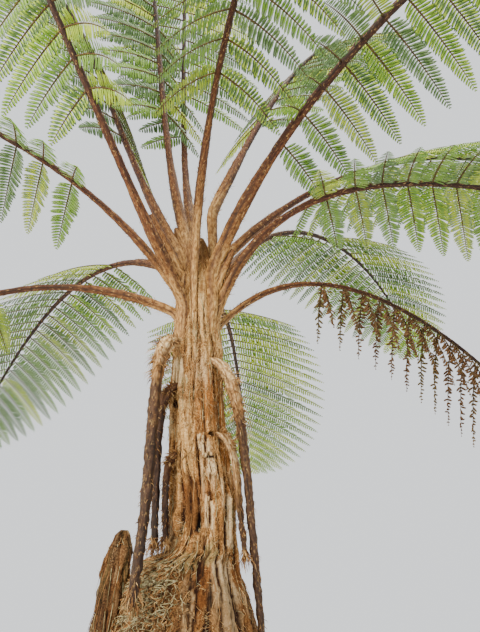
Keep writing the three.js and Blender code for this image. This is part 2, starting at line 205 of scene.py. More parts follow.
# Matted root fibre: dull, streaked up and down, and tan where it is rubbed, with painted shade in its creases,
# hollows and pits.
def rootFibreMaterial(name, dark, middle, light, grain):
    material, tree = newMaterial(name)
    place = addNode(tree, "ShaderNodeTexCoord")
    stretch = addNode(tree, "ShaderNodeMapping", {"Vector": place.outputs["Object"], "Scale": (1, 1, 0.14)})
    # streaks about 5 mm wide and 35 mm long, grains of 3 mm, and blotches about 70 mm across
    streaks = addNode(tree, "ShaderNodeTexNoise", {
        "Vector": stretch.outputs[0], "Scale": 1 / 0.010, "Detail": 5, "Roughness": 0.7})
    grains = addNode(tree, "ShaderNodeTexNoise", {
        "Vector": place.outputs["Object"], "Scale": 1 / 0.006, "Detail": 3, "Roughness": 0.7})
    blotches = addNode(tree, "ShaderNodeTexNoise", {
        "Vector": place.outputs["Object"], "Scale": 1 / 0.14, "Detail": 3})
    mixture = addNode(tree, "ShaderNodeMix", {
        0: grain, 2: streaks.outputs[0], 3: grains.outputs[0]}, data_type="FLOAT")
    body = addNode(tree, "ShaderNodeValToRGB", {"Fac": mixture.outputs[0]}, stops=[
        (0.40, dark), (0.5, middle), (0.62, light)])
    shade = addNode(tree, "ShaderNodeValToRGB", {"Fac": blotches.outputs[0]}, stops=[
        (0.36, "#b98e66"), (0.5, "#eedcc4"), (0.64, "#ffffff")])
    mixed = addNode(tree, "ShaderNodeMix", {0: 0.8, 6: body.outputs[0], 7: shade.outputs[0]}, **multiply)
    result = mixed.outputs[2]
    patchTints = [
        ("velvet", [(0.34, "#876138"), (0.48, "#c2995f"), (0.66, "#f2d9a8")]),
        ("rust", [(0.34, "#4e2c15"), (0.5, "#8c5829"), (0.66, "#c08d52")]),
        ("bare", [(0.34, "#93764f"), (0.5, "#cfb389"), (0.68, "#f0e2c4")]),
        ("green", [(0.35, "#6d6a42"), (0.65, "#a8a071")]),
        # the last two are painted shade: dark in the hollows and under the shelf, and near black in the holes
        # and cracks
        ("hollow", [(0.34, "#3a2313"), (0.5, "#6e4826"), (0.68, "#9a6d3f")]),
        ("pit", [(0.3, "#120a06"), (0.7, "#301a0f")]),
    ]
    for key, stops in patchTints:
        mask = addNode(tree, "ShaderNodeAttribute", attribute_name=key)
        tint = addNode(tree, "ShaderNodeValToRGB", {"Fac": mixture.outputs[0]}, stops=stops)
        layer = addNode(tree, "ShaderNodeMix", data_type="RGBA", inputs={
            0: mask.outputs["Fac"], 6: result, 7: tint.outputs[0]})
        result = layer.outputs[2]
    # crease darkens the creases as painted shade, and darkening makes the colour darker where its mask is high
    for key, tint in (("crease", "#4a2c18"), ("damp", "#8a7864")):
        mask = addNode(tree, "ShaderNodeAttribute", attribute_name=key)
        darker = addNode(tree, "ShaderNodeMix", {
            0: mask.outputs["Fac"], 6: result, 7: colour(tint)}, **multiply)
        result = darker.outputs[2]
    bump = addNode(tree, "ShaderNodeBump", {
        "Height": mixture.outputs[0], "Strength": 0.8, "Distance": 0.004})
    finishMaterial(tree, {
        "Base Color": result, "Roughness": 0.88, "Specular IOR Level": 0.2,
        "Normal": bump.outputs[0]})
    return material


# Live stalk: tough skin with fine grooves along it, felted with tan down near its base and palest at its foot,
# partly from the felt and partly as a painted highlight, then red-brown, then nearly black, and flecked with
# scurf.
def stalkMaterial(name, tints, fleck, fleckFrom):
    material, tree = newMaterial(name)
    along = addNode(tree, "ShaderNodeAttribute", attribute_name="along")
    around = addNode(tree, "ShaderNodeAttribute", attribute_name="around")
    spot = addNode(tree, "ShaderNodeCombineXYZ", {"X": around.outputs["Fac"], "Y": along.outputs["Fac"]})
    # grooves 4 mm apart, flecks of scurf 4 mm wide and 14 mm long, and tints that drift over 120 mm
    stretch = addNode(tree, "ShaderNodeMapping", {"Vector": spot.outputs[0], "Scale": (1, 0.05, 1)})
    grooves = addNode(tree, "ShaderNodeTexNoise", {
        "Vector": stretch.outputs[0], "Scale": 1 / 0.008, "Detail": 3})
    wide = addNode(tree, "ShaderNodeMapping", {"Vector": spot.outputs[0], "Scale": (1, 0.35, 1)})
    flecks = addNode(tree, "ShaderNodeTexNoise", {
        "Vector": wide.outputs[0], "Scale": 1 / 0.009, "Detail": 4, "Roughness": 0.75})
    drift = addNode(tree, "ShaderNodeTexNoise", {"Vector": spot.outputs[0], "Scale": 1 / 0.24, "Detail": 2})
    offset = addNode(tree, "ShaderNodeMath", {0: drift.outputs[0], 1: 0.5}, operation="SUBTRACT")
    shifted = addNode(tree, "ShaderNodeMath", {
        0: offset.outputs[0], 1: 0.9, 2: along.outputs["Fac"]}, operation="MULTIPLY_ADD")
    reach = addNode(tree, "ShaderNodeMath", {0: shifted.outputs[0], 1: 0.5}, operation="MULTIPLY")
    distance = addNode(tree, "ShaderNodeValToRGB", {"Fac": reach.outputs[0]}, stops=tints)
    pale = addNode(tree, "ShaderNodeValToRGB", {"Fac": grooves.outputs[0]}, stops=[
        (0.36, "#7d6550"), (0.56, "#ffffff")])
    striped = addNode(tree, "ShaderNodeMix", {
        0: 0.7, 6: distance.outputs[0], 7: pale.outputs[0]}, **multiply)
    # felt of 8 mm tufts, light on dark
    tufts = addNode(tree, "ShaderNodeTexNoise", {
        "Vector": wide.outputs[0], "Scale": 1 / 0.008, "Detail": 2, "Roughness": 0.6})
    felt = addNode(tree, "ShaderNodeValToRGB", {"Fac": tufts.outputs[0]}, stops=[
        (0.36, "#8c6a46"), (0.5, "#dcc7a6"), (0.62, "#ffffff")])
    grooved = addNode(tree, "ShaderNodeMix", {
        0: 0.85, 6: striped.outputs[2], 7: felt.outputs[0]}, **multiply)
    mask = addNode(tree, "ShaderNodeValToRGB", {"Fac": flecks.outputs[0]}, stops=[
        (fleckFrom, "#000000"), (fleckFrom + 0.09, "#ffffff")])
    flecked = addNode(tree, "ShaderNodeMix", data_type="RGBA", inputs={
        0: mask.outputs[0], 6: grooved.outputs[2], 7: colour(fleck)})
    # two dark lines run along every stalk, one on each flank
    flank = addNode(tree, "ShaderNodeAttribute", attribute_name="flank")
    result = addNode(tree, "ShaderNodeMix", {
        0: flank.outputs["Fac"], 6: flecked.outputs[2], 7: colour("#6a4026")}, **multiply)
    bump = addNode(tree, "ShaderNodeBump", {
        "Height": flecks.outputs[0], "Strength": 0.7, "Distance": 0.004})
    finishMaterial(tree, {
        "Base Color": result.outputs[2], "Roughness": 0.62, "Specular IOR Level": 0.35,
        "Normal": bump.outputs[0]})
    return material


# Fern leaflet: thin, soft and a little waxy above, dull and paler beneath.
def leafMaterial(name, base, tint, roughness):
    material, tree = newMaterial(name)
    place = addNode(tree, "ShaderNodeTexCoord")
    # tints drift over about 90 mm, so neighbours differ a little
    drift = addNode(tree, "ShaderNodeTexNoise", {
        "Vector": place.outputs["Object"], "Scale": 1 / 0.09, "Detail": 2})
    blend = addNode(tree, "ShaderNodeValToRGB", {"Fac": drift.outputs[0]}, stops=[
        (0.38, base), (0.62, tint)])
    finishMaterial(tree, {
        "Base Color": blend.outputs[0], "Roughness": roughness, "Specular IOR Level": 0.4})
    return material


# Dry plant hair and thread: one soft dull colour that drifts along it.
def fibreMaterial(name, base, tint):
    material, tree = newMaterial(name)
    place = addNode(tree, "ShaderNodeTexCoord")
    drift = addNode(tree, "ShaderNodeTexNoise", {
        "Vector": place.outputs["Object"], "Scale": 1 / 0.02, "Detail": 2})
    blend = addNode(tree, "ShaderNodeValToRGB", {"Fac": drift.outputs[0]}, stops=[(0.4, base), (0.6, tint)])
    finishMaterial(tree, {"Base Color": blend.outputs[0], "Roughness": 0.8, "Specular IOR Level": 0.2})
    return material


trunkFibre = rootFibreMaterial("mattedRootFibre", "#4c3320", "#a57945", "#e2bf8c", 0.5)
stumpFibre = rootFibreMaterial("weatheredRootFibre", "#2b1e14", "#745a3f", "#b09570", 0.6)
# the pale cream at the foot of the live stalks is partly their tan felt and partly a painted highlight
liveStalkSkin = stalkMaterial("scurfyStalkSkin", [
    (0.0, "#d0ab72"), (0.07, "#a87c47"), (0.14, "#8f6335"), (0.3, "#714225"), (0.5, "#4d291d"),
    (0.85, "#2b1a19")], "#c49b60", 0.57)
deadStalkSkin = stalkMaterial("dryStalkSkin", [
    (0.0, "#dec092"), (0.08, "#f0d8ae"), (0.14, "#bc9561"), (0.22, "#563a24"), (0.5, "#40291a"),
    (0.8, "#503522")], "#8c6f45", 0.55)
rottenStalkSkin = stalkMaterial("rottenStalkSkin", [
    (0.0, "#6d4a2d"), (0.1, "#4a2f1d"), (0.3, "#33211a"), (0.8, "#4a3020")], "#7a5130", 0.6)
# The shaded tints are painted shade, the sunlit ones painted sunlight, and the backlit undersides painted
# light shining through the leaf; the grey undersides are the leaves' own pale grey-green with painted shade,
# and fresh, old and dry are their own colours.
leafUppers = [
    leafMaterial("leafUpperShaded", "#54753f", "#6c8c4d", 0.42),
    leafMaterial("leafUpperFresh", "#6d992f", "#85ad3f", 0.42),
    leafMaterial("leafUpperSunlit", "#9db72c", "#bfd143", 0.45),
    leafMaterial("leafUpperOld", "#6d6236", "#7d673a", 0.7),
    leafMaterial("leafUpperDry", "#634428", "#78583a", 0.85),
]
leafUnders = [
    leafMaterial("leafUnderGreyShaded", "#7a946f", "#91a784", 0.6),
    leafMaterial("leafUnderGreen", "#74914f", "#8ea764", 0.6),
    leafMaterial("leafUnderBacklit", "#93b530", "#b5ce45", 0.6),
    leafMaterial("leafUnderOld", "#73653a", "#86703f", 0.75),
    leafMaterial("leafUnderDry", "#553a24", "#6e5032", 0.9),
]
leafletRib = fibreMaterial("leafletRib", "#4b3a26", "#6a5634")
goldenDown = fibreMaterial("goldenDown", "#b98c58", "#dcb984")
darkScales = fibreMaterial("darkScales", "#4a2c1b", "#6d4529")
paleRootlets = fibreMaterial("paleRootlets", "#8c8562", "#c4bb96")
brownFibres = fibreMaterial("brownFibres", "#7d5836", "#a87c4e")

# The same named sizes as the part's source, in metres: height, radius, and how far the middle has swung
# to the right and to the back.
trunkRows = np.array([
    [0, 0.345, 0, 0], [0.12, 0.312, 0, 0.002], [0.35, 0.288, 0.002, 0.005], [0.8, 0.264, 0.005, 0.010],
    [1.2, 0.246, 0.004, 0.012], [1.37, 0.233, 0.003, 0.012], [1.44, 0.214, 0.005, 0.011],
    [1.5, 0.190, 0.008, 0.010], [1.56, 0.168, 0.008, 0.009], [1.6, 0.158, 0.012, 0.008],
    [1.635, 0.128, 0.040, 0.006], [1.7, 0.112, 0.046, 0.005], [1.83, 0.118, 0.042, 0.002],
    [2.05, 0.105, 0.020, 0], [2.23, 0.101, 0.006, 0], [2.43, 0.094, 0.008, 0], [2.67, 0.092, 0, 0],
    [2.78, 0.080, 0, 0], [2.88, 0.052, 0, 0], [2.94, 0.032, 0, 0], [2.975, 0.010, 0, 0],
])
# One row for each frond, as in the source: its angle round the neck (0 is to the right, 90 to the back),
# how far its foot stands aside, its base height from the neck, its first rise, its reach and tip height, the
# slope there, the size of its leaflets, how far they hang, its stalk's length and radius, and how sunlit its
# leaves are. Below zero they are dry.
frondColumns = [
    "angle", "aside", "base", "rise", "reach", "tip", "slope", "size", "droop", "bare", "thick", "sun",
]
frondRows = [
    [172, 0, -0.065, 27, 2.48, -1.32, -60, 0.95, 0.5, 0.88, 0.016, 0.35],
    [197, 0, 0, 55, 2.9, 0.35, -45, 1, 0.5, 0.66, 0.015, 0.4],
    [226, 0, -0.04, 48, 2.34, 1.93, -30, 1, 0.9, 0.92, 0.019, 0.3],
    [152, 0, 0.21, 59, 1.75, 2.63, -15, 1, 0.6, 0.85, 0.020, 0.15],
    [134, 0, 0.3, 69, 1.14, 3.04, -10, 0.95, 0.6, 0.88, 0.020, 0.1],
    [104, 0, 0.34, 52, 1.09, 3.05, -10, 0.95, 0.6, 0.88, 0.020, 0.1],
    [279, -0.032, 0.26, 83, 2.79, 0.41, -30, 1, 1.2, 0.7, 0.016, 0.2],
    [45, 0, 0.47, 65, 2.15, 2.72, -15, 1, 0.6, 0.8, 0.020, 0.25],
    [317, 0, 0.105, 62, 2.81, 1.01, -35, 1, 0.5, 0.6, 0.023, 0.35],
    [342, 0, -0.1, 74, 2.5, -0.47, -50, 0.95, 0.3, 0.74, 0.018, 0.55],
    [20, 0, 0.17, 54, 2.85, 1.05, -40, 1, 0.5, 0.78, 0.019, 0.6],
    [8, 0, -0.137, 53, 1.88, -0.95, -70, 0.72, 2.6, 0.56, 0.012, -1],
    [80, 0, -0.06, 36, 2.4, -0.365, -40, 1.1, 0.3, 0.7, 0.017, 0.95],
    [128, 0, 0.13, 37, 2.55, -0.295, -45, 0.95, 0.5, 0.72, 0.018, 0.35],
    [50, 0, 0.02, 60, 2.6, 0.45, -50, 0.95, 0.5, 0.74, 0.018, 0.6],
]
frondTable = [dict(zip(frondColumns, row)) for row in frondRows]
# As in the source, but with about twice the leaflets. The solid's stand solidSpacing times farther apart.
bladeRules = dict(
    startDistance=0.075, startPull=1.2, endPull=0.85, smallPull=0.05, swollen=1.3, swollenLength=0.55,
    swollenPower=3, tipThickness=0.004, thinning=0.8, pairs=25, firstPlace=0.2, crowding=0.72, evenness=0.85,
    longestLeaflet=0.58, outlineFrom=0.2, fullness=0.75, widestAt=0.3, leafletWidth=0.165,
    widthOfSpacing=0.86, solidSpacing=1.75, stiffTip=0.5, baseLean=2, tipLean=42, clearance=0.026,
    shortenings=[1, 0.86, 0.72, 0.58, 0.44], outlinePoints=12,
)
columnRules = dict(
    foot=0.45, footDistance=0.045, footRadius=0.013, waist=0.15, waistDistance=0.088, belowTop=0.02,
    points=900, easedLength=0.35, easedPower=4, easings=150,
)
tangentReach = 0.004        # how far to each side of a place its tangent is read, as a share of the curve


# A curve's points, put at even distances along it, and its length.
def evenly(points, count=400):
    run = np.concatenate([[0], np.cumsum(np.linalg.norm(np.diff(points, axis=0), axis=1))])
    even = np.linspace(0, run[-1], count)
    return np.stack([np.interp(even, run, points[:, axis]) for axis in range(3)], 1), run[-1]


# A cubic curve from its four corners.
def cubic(corners):
    share = np.linspace(0, 1, 2000)[:, None]
    rest = 1 - share
    a, b, c, d = corners
    return rest ** 3 * a + 3 * rest ** 2 * share * b + 3 * rest * share ** 2 * c + share ** 3 * d


def readCurve(points, share):
    place = np.clip(share, 0, 1) * (len(points) - 1)
    return np.stack([np.interp(place, np.arange(len(points)), points[:, axis]) for axis in range(3)], -1)


def readTangent(points, share):
    share = np.asarray(share)
    return unit(readCurve(points, share + tangentReach) - readCurve(points, share - tangentReach))


def prepareFronds():
    for frond in frondTable:
        scale = min(1, frond["size"] + bladeRules["smallPull"])
        rise, fall = math.radians(frond["rise"]), math.radians(frond["slope"])
        pull, back = bladeRules["startPull"] * scale, bladeRules["endPull"] * scale
        start = bladeRules["startDistance"]
        corners = [
            (start, frond["base"]),
            (start + pull * math.cos(rise), frond["base"] + pull * math.sin(rise)),
            (frond["reach"] - back * math.cos(fall), frond["tip"] - back * math.sin(fall)),
            (frond["reach"], frond["tip"]),
        ]
        placed = [polar(frond["angle"], distance, neckHeight + height) for distance, height in corners]
        placed[0] = placed[0] + outward(frond["angle"] + 90) * frond["aside"]
        frond["arch"], frond["length"] = evenly(cubic(placed))
        frond["side"] = outward(frond["angle"] + 90)
        frond["points"] = readCurve(frond["arch"], np.linspace(0, 1, 61))


def midribRadius(frond, share):
    thin = bladeRules["tipThickness"]
    slender = thin + (frond["thick"] - thin) * np.clip(1 - share, 0, 1) ** bladeRules["thinning"]
    past = np.clip(share * frond["length"] / bladeRules["swollenLength"], 0, 1) ** bladeRules["swollenPower"]
    swollen = frond["thick"] * bladeRules["swollen"]
    return swollen + (slender - swollen) * past


# One leaflet of a frond by the source's rule, with more pairs than the solid has, and more even ones.
def leafletStrip(frond, pair, hand):
    bladeLength = frond["length"] - frond["bare"]
    number = (pair + bladeRules["firstPlace"]) / bladeRules["pairs"]
    evenness = bladeRules["evenness"]
    part = number ** evenness
    spacing = bladeLength * evenness * number ** (evenness - 1) / bladeRules["pairs"]
    share = (frond["bare"] + bladeLength * part) / frond["length"]
    # the place that the source's rule gives a leaflet here
    place = part ** (1 / bladeRules["crowding"])
    tangent = readTangent(frond["arch"], share)
    lean = math.radians(bladeRules["baseLean"] + (bladeRules["tipLean"] - bladeRules["baseLean"]) * place)
    droop = frond["droop"] * (1 - bladeRules["stiffTip"] * place)
    level = frond["side"] * hand * math.cos(lean) + tangent * math.sin(lean)
    direction = unit(level - np.array([0, 0, droop]))
    outlineShare = bladeRules["outlineFrom"] + (1 - bladeRules["outlineFrom"]) * place
    outline = math.sin(math.pi * outlineShare) ** bladeRules["fullness"]
    roomiest = spacing * bladeRules["widthOfSpacing"] * bladeRules["solidSpacing"]
    widest = min(bladeRules["leafletWidth"] * frond["size"], roomiest)
    width = unit(tangent - direction * (tangent @ direction))
    return dict(
        frond=frond, share=share, root=readCurve(frond["arch"], share), level=level, droop=droop,
        direction=direction, width=width, normal=np.cross(direction, width),
        above=np.cross(tangent, frond["side"]), spacing=spacing,
        length=bladeRules["longestLeaflet"] * frond["size"] * outline,
        halfWidth=widest * math.sqrt(outline) / 2,
    )


# Half the width of a leaflet's kite at a share of its length.
def kiteHalf(halfWidth, share):
    widest = bladeRules["widestAt"]
    part = np.where(share < widest, share / widest, (1 - share) / (1 - widest))
    return halfWidth * np.clip(part, 0, 1)


def pointsOn(strip, length):
    count = bladeRules["outlinePoints"]
    share = np.arange(1, count + 1) / count
    line = strip["root"] + strip["direction"] * (share * length)[:, None]
    half = kiteHalf(strip["halfWidth"], share)[:, None] * strip["width"]
    return np.concatenate([line - half, line, line + half])


def covers(strip, length, points, clearance):
    offset = points - strip["root"]
    along = offset @ strip["direction"]
    half = kiteHalf(strip["halfWidth"], along / length) + clearance
    inside = (along > -clearance) & (along < length + clearance)
    inside &= np.abs(offset @ strip["normal"]) < clearance
    return np.any(inside & (np.abs(offset @ strip["width"]) < half))


# A leaflet that would touch another frond is made shorter, and left out if even the shortest would.
def fittingLength(strip, rivals, midribs):
    for shorter in bladeRules["shortenings"]:
        length = strip["length"] * shorter
        points = pointsOn(strip, length)
        if any(covers(strip, length, line, bladeRules["clearance"] + thick) for line, thick in midribs):
            continue
        if not any(covers(rival, rival["length"], points, bladeRules["clearance"])
                   or covers(strip, length, rival["points"], bladeRules["clearance"]) for rival in rivals):
            return length
    return 0


def growLeaflets():
    placed = []
    for frond in frondTable:
        midribs = [(other["points"], other["thick"]) for other in frondTable if other is not frond]
        for pair in range(bladeRules["pairs"]):
            for hand in (-1, 1):
                strip = leafletStrip(frond, pair, hand)
                rivals = [
                    rival for rival in placed if rival["frond"] is not frond
                    and np.linalg.norm(rival["root"] - strip["root"]) < strip["length"] + rival["length"]]
                length = fittingLength(strip, rivals, midribs)
                if length:
                    strip["length"] = length
                    strip["points"] = pointsOn(strip, length)
                    placed.append(strip)
    return placed


# The three rings between a leaf's ends: the place of each along it, and its share of the full width. Faces
# whose middle lies higher than upperFrom are its upper side.
templateRules = dict(rings=[(0.10, 0.72), (0.42, 1.0), (0.80, 0.82)], upperFrom=-0.34)


# One leaf of the template: a thin three-sided pod from a ball, drawn out to a blunt lance with a keel.
def leafTemplate():
    ball = bmesh.new()
    bmesh.ops.create_uvsphere(ball, u_segments=3, v_segments=4, radius=1)
    for vert in ball.verts:
        if abs(vert.co.z) > 0.99:
            vert.co = (0.0 if vert.co.z < 0 else 1.0, 0.0, 0.0)
            continue
        # the ball's rings lie at -0.71, 0 and 0.71, and each is a triangle 0.866 of its radius to each side
        place, width = templateRules["rings"][round(vert.co.z * 1.42) + 1]
        flat = math.hypot(vert.co.x, vert.co.y)
        vert.co = (place, vert.co.y / flat / 0.866 * width, vert.co.x / flat)
    bmesh.ops.triangulate(ball, faces=ball.faces)
    bmesh.ops.recalc_face_normals(ball, faces=ball.faces)
    points = np.array([vert.co[:] for vert in ball.verts])
    # the operators leave the faces in a different order on each run, so they are sorted
    faces = np.array(sorted([vert.index for vert in face.verts] for face in ball.faces))
    ball.free()
    return points, faces, points[faces][:, :, 2].mean(axis=1) > templateRules["upperFrom"]


print("fronds")
prepareFronds()
strips = growLeaflets()
templatePoints, templateFaces, templateUpper = leafTemplate()

# The small leaves, with angles in degrees but for turn and the spreads, which are in radians. profile gives
# how long the first ones are, how fast they grow, and the two powers by which they shorten to the tip.
leafRules = dict(
    spacing=0.0152, length=0.082, width=0.0165, thickness=0.0012, lean=10, tipLean=32, droop=9, bend=0.12,
    sagFrom=0.45, sagTo=1.5, fold=0.2, crowded=0.9, clearOfRib=0.007, fewest=4, ribPoints=12, turn=0.12,
    profile=(0.62, 2.2, 1.6, 0.62), leanSpread=0.035, droopSpread=0.07, sizes=(0.92, 1.05), widthPower=0.4,
)
# Dry leaves curl out of their rows: the mean and the spread of that in radians, and the size they shrink to.
dryRules = dict(lean=(0.3, 0.4), droop=(0.5, 0.5), size=0.6)


# A leaflet's rib starts out level, bends down under its own weight, and ends near the straight one's tip.
def bendRib(strip, count):
    share = np.linspace(0, 1, count)
    sag = leafRules["sagFrom"] + (leafRules["sagTo"] - leafRules["sagFrom"]) * share
    steps = unit(strip["level"] + np.array([0, 0, -1]) * (strip["droop"] * sag)[:, None])
    line = np.concatenate([[np.zeros(3)], np.cumsum((steps[1:] + steps[:-1]) / 2, axis=0)])
    return strip["root"] + line * strip["length"] / (count - 1), steps


# Every leaflet's own leaves: rows of small lances on both sides of its bent rib.
def leavesOf(strip):
    dry = strip["frond"]["sun"] < 0
    first = (midribRadius(strip["frond"], strip["share"]) + leafRules["clearOfRib"]) / strip["length"]
    count = max(leafRules["fewest"], int(round(strip["length"] * (1 - first) / leafRules["spacing"])))
    share = first + (1 - first) * (np.arange(count) + 0.5) / count
    ribPoints, ribSteps = bendRib(strip, leafRules["ribPoints"])
    strip["rib"] = ribPoints
    base = readCurve(ribPoints, share)
    tangent = unit(readCurve(ribSteps, share))
    turn = rng.uniform(-leafRules["turn"], leafRules["turn"])
    width = unit(strip["width"] + strip["above"] * turn)
    start, growth, narrowing, tipPower = leafRules["profile"]
    profile = np.minimum(1, start + (share - first) * growth)
    profile = profile * np.maximum(0, 1 - share ** narrowing) ** tipPower
    roomiest = strip["spacing"] * leafRules["crowded"]
    longest = min(leafRules["length"] * strip["frond"]["size"] ** 0.5, roomiest)
    rows = []
    for hand in (-1, 1):
        lean = np.radians(leafRules["lean"] + (leafRules["tipLean"] - leafRules["lean"]) * share)
        lean = lean + rng.normal(0, leafRules["leanSpread"], count)
        droop = np.radians(leafRules["droop"]) + rng.normal(0, leafRules["droopSpread"], count)
        if dry:
            lean = lean + rng.normal(*dryRules["lean"], count)
            droop = droop + rng.normal(*dryRules["droop"], count)
        side = unit(width * hand - tangent * (tangent @ width)[:, None] * hand)
        over = unit(np.cross(tangent, side) * hand)
        over = over * np.sign(over @ strip["above"])[:, None]
        direction = side * np.cos(lean)[:, None] + tangent * np.sin(lean)[:, None]
        direction = unit(direction * np.cos(droop)[:, None] - over * np.sin(droop)[:, None])
        size = rng.uniform(*leafRules["sizes"], count)
        length = longest * profile * size * (dryRules["size"] if dry else 1)
        across = unit(np.cross(over, direction))
        rows.append((base, direction, across, np.cross(direction, across), length))
    return [np.concatenate(column) for column in zip(*rows)]


# The template leaf set out at every base, bent down along its length and folded along its middle.
def placeLeaves(base, direction, across, over, length):
    half = leafRules["width"] / 2 * (length / leafRules["length"]) ** leafRules["widthPower"]
    x = templatePoints[None, :, 0:1] * length[:, None, None]
    y = templatePoints[None, :, 1:2] * half[:, None, None]
    keel = templatePoints[None, :, 2:3] * leafRules["thickness"]
    fall = -leafRules["bend"] * templatePoints[None, :, 0:1] ** 2 * length[:, None, None]
    fold = -np.abs(templatePoints[None, :, 1:2]) * half[:, None, None] * leafRules["fold"]
    height = keel + fall + fold
    return base[:, None] + direction[:, None] * x + across[:, None] * y + over[:, None] * height


# The chance of a shaded, a fresh and a sunlit leaf on each side, of which the shaded and sunlit tints are
# painted shade and painted sunlight: in the shade, and what full sun adds to it.
shadeRules = dict(
    upper=[(0.55, -0.45), (0.35, 0), (0.1, 0.45)], under=[(0.66, -0.6), (0.28, 0.1), (0.06, 0.5)],
)


# Which of a side's leaf materials a leaflet has. On a dry frond it is the dry one twice as often as the old.
def dealShade(side, sun):
    if sun < 0:
        return rng.choice([3, 4, 4])
    return rng.choice([0, 1, 2], p=[chance + change * sun for chance, change in shadeRules[side]])


def buildFrondLeaves(frond, index, own):
    allPoints, shades = [], []
    for strip in own:
        columns = leavesOf(strip)
        allPoints.append(placeLeaves(*columns))
        upper, under = dealShade("upper", frond["sun"]), dealShade("under", frond["sun"])
        shade = np.where(templateUpper, upper, len(leafUppers) + under)
        shades.append(np.tile(shade, len(columns[0])))
    points = np.concatenate(allPoints)
    faces = templateFaces[None] + (np.arange(len(points)) * len(templatePoints))[:, None, None]
    piece = objectFromArrays(
        f"frond{index:02d}Leaves", points.reshape(-1, 3), faces.reshape(-1, 3), leafUppers + leafUnders,
        np.concatenate(shades))
    dress(piece, "frond_blade", f"frond_{index:02d}_blade")
    return len(faces) * len(templateFaces)


# The leaflets' ribs, which thin out from their feet and end just short of the tips.
leafRibRules = dict(points=8, until=0.985, thickest=0.0045, ofMidrib=0.4, thinning=0.7, thinnest=0.0006)


def buildFrondRibs(frond, index, own):
    share = np.linspace(0, leafRibRules["until"], leafRibRules["points"])
    paths = np.array([readCurve(strip["rib"], share) for strip in own])
    feet = [leafRibRules["ofMidrib"] * midribRadius(frond, strip["share"]) for strip in own]
    start = np.minimum(leafRibRules["thickest"], feet)[:, None]
    thickness = start * (1 - share) ** leafRibRules["thinning"] + leafRibRules["thinnest"]
    piece = strandsObject(f"frond{index:02d}LeafRibs", paths, thickness, [leafletRib])
    dress(piece, "frond_blade")


# The dark lines on a stalk's flanks: how far round from its outer side, how wide in degrees, how dark, and
# how far they wander.
flankRules = dict(turn=66, width=20, strength=0.85, wander=5)
# A stalk's faint ribs and its groove along the upper side: depths as shares of its radius, and degrees.
grooveRules = dict(ribs=5, ribDepth=0.05, grooveAt=270, grooveWidth=24, grooveDepth=0.12, lumpLength=0.02)
# For each kind of stalk: its columns and rows, how rough it is, and the seed of that.
liveSkin = dict(around=17, along=300, rough=0.0014, seed=100)
brokenSkin = dict(around=17, along=150, rough=0.003, seed=170)
knobSkin = dict(around=17, along=90, rough=0.002, seed=150)
deadSkin = dict(around=19, along=170, rough=0.0040, seed=300)


# A stalk as one grooved tube along its path. Its run from the stalk's own start and its turn are kept as
# attributes for its material, and radiusAt gives its radius from the run.
def stalkSkin(name, points, length, startRun, radiusAt, side, material, skin, index, flat=1):
    cells, seed = max(8, int(length / grooveRules["lumpLength"])), skin["seed"] + index

    def place(u, v):
        centre, tangent = readCurve(points, v), readTangent(points, v)
        across = unit(side - tangent * (tangent @ side)[:, None])
        over = np.cross(across, tangent)
        turn = u * 2 * math.pi
        past = np.abs(turnBetween(np.degrees(turn), grooveRules["grooveAt"])) / grooveRules["grooveWidth"]
        ribs = grooveRules["ribDepth"] * np.cos(turn * grooveRules["ribs"])
        groove = grooveRules["grooveDepth"] * np.exp(-past ** 2)
        radius = radiusAt(startRun + v * length) * (1 + ribs - groove)
        radius = radius + skin["rough"] * lattice(u, v, 12, cells, seed)
        ring = across * (np.cos(turn) * flat)[:, None] + over * (np.sin(turn) / flat)[:, None]
        return centre + ring * radius[:, None]

    def attributes(u, v):
        away = np.abs(np.abs(turnBetween(u * 360, 90)) - flankRules["turn"])
        wander = flankRules["wander"] * lattice(u * 0, v, 3, cells // 8 + 2, seed + 50)
        line = flankRules["strength"] * np.exp(-((away + wander) / flankRules["width"]) ** 2)
        # around is the distance along the girth of a stalk about 40 mm thick, the same on both flanks
        return {"along": startRun + v * length, "around": np.abs(u - 0.5) * 0.12, "flank": line}

    return wrapSkin(name, skin["around"], skin["along"], place, [material], attributes)


# The path of a frond's base up the neck, joined to its arch and eased over the joint.
def columnPath(angle, top, arch):
    foot, waist = columnRules["foot"], columnRules["waist"]
    below = np.array([
        polar(angle, columnRules["footDistance"], top - foot),
        polar(angle, (columnRules["footDistance"] + columnRules["waistDistance"]) / 2, top - 2 * waist),
        polar(angle, columnRules["waistDistance"], top - waist),
        polar(angle, bladeRules["startDistance"], top - columnRules["belowTop"]),
    ])
    path, length = evenly(np.concatenate([below, arch]), columnRules["points"])
    eased = path.copy()
    fromJoint = (np.linspace(0, length, len(path)) - foot) / columnRules["easedLength"]
    nearJoint = np.exp(-fromJoint ** columnRules["easedPower"])[:, None]
    for _ in range(columnRules["easings"]):
        eased[1:-1] = (eased[:-2] + eased[1:-1] * 2 + eased[2:]) / 4
    return path * (1 - nearJoint) + eased * nearJoint, length


# A stalk's radius from its run, which is below zero on its column down the neck.
def stalkRadius(frond, run):
    top = frond["thick"] * bladeRules["swollen"]
    below = np.clip(-run / columnRules["foot"], 0, 1)
    onColumn = top + (columnRules["footRadius"] - top) * below
    return np.where(run > 0, midribRadius(frond, run / frond["length"]), onColumn)


total = 0
for index, frond in enumerate(frondTable, 1):
    own = [strip for strip in strips if strip["frond"] is frond]
    total += buildFrondLeaves(frond, index, own)
    buildFrondRibs(frond, index, own)
    footTurn = math.degrees(math.atan2(frond["aside"], bladeRules["startDistance"]))
    path, length = columnPath(frond["angle"] + footTurn, neckHeight + frond["base"], frond["arch"])
    frond["path"], frond["pathLength"] = path, length
    stalk = stalkSkin(
        f"frond{index:02d}Stalk", path, length, frond["length"] - length,
        lambda run: stalkRadius(frond, run), frond["side"], liveStalkSkin, liveSkin, index)
    dress(stalk, "live_stalk", f"frond_{index:02d}_stalk")
print("leaf triangles", total, "leaflets", len(strips))

print("old frond bases")
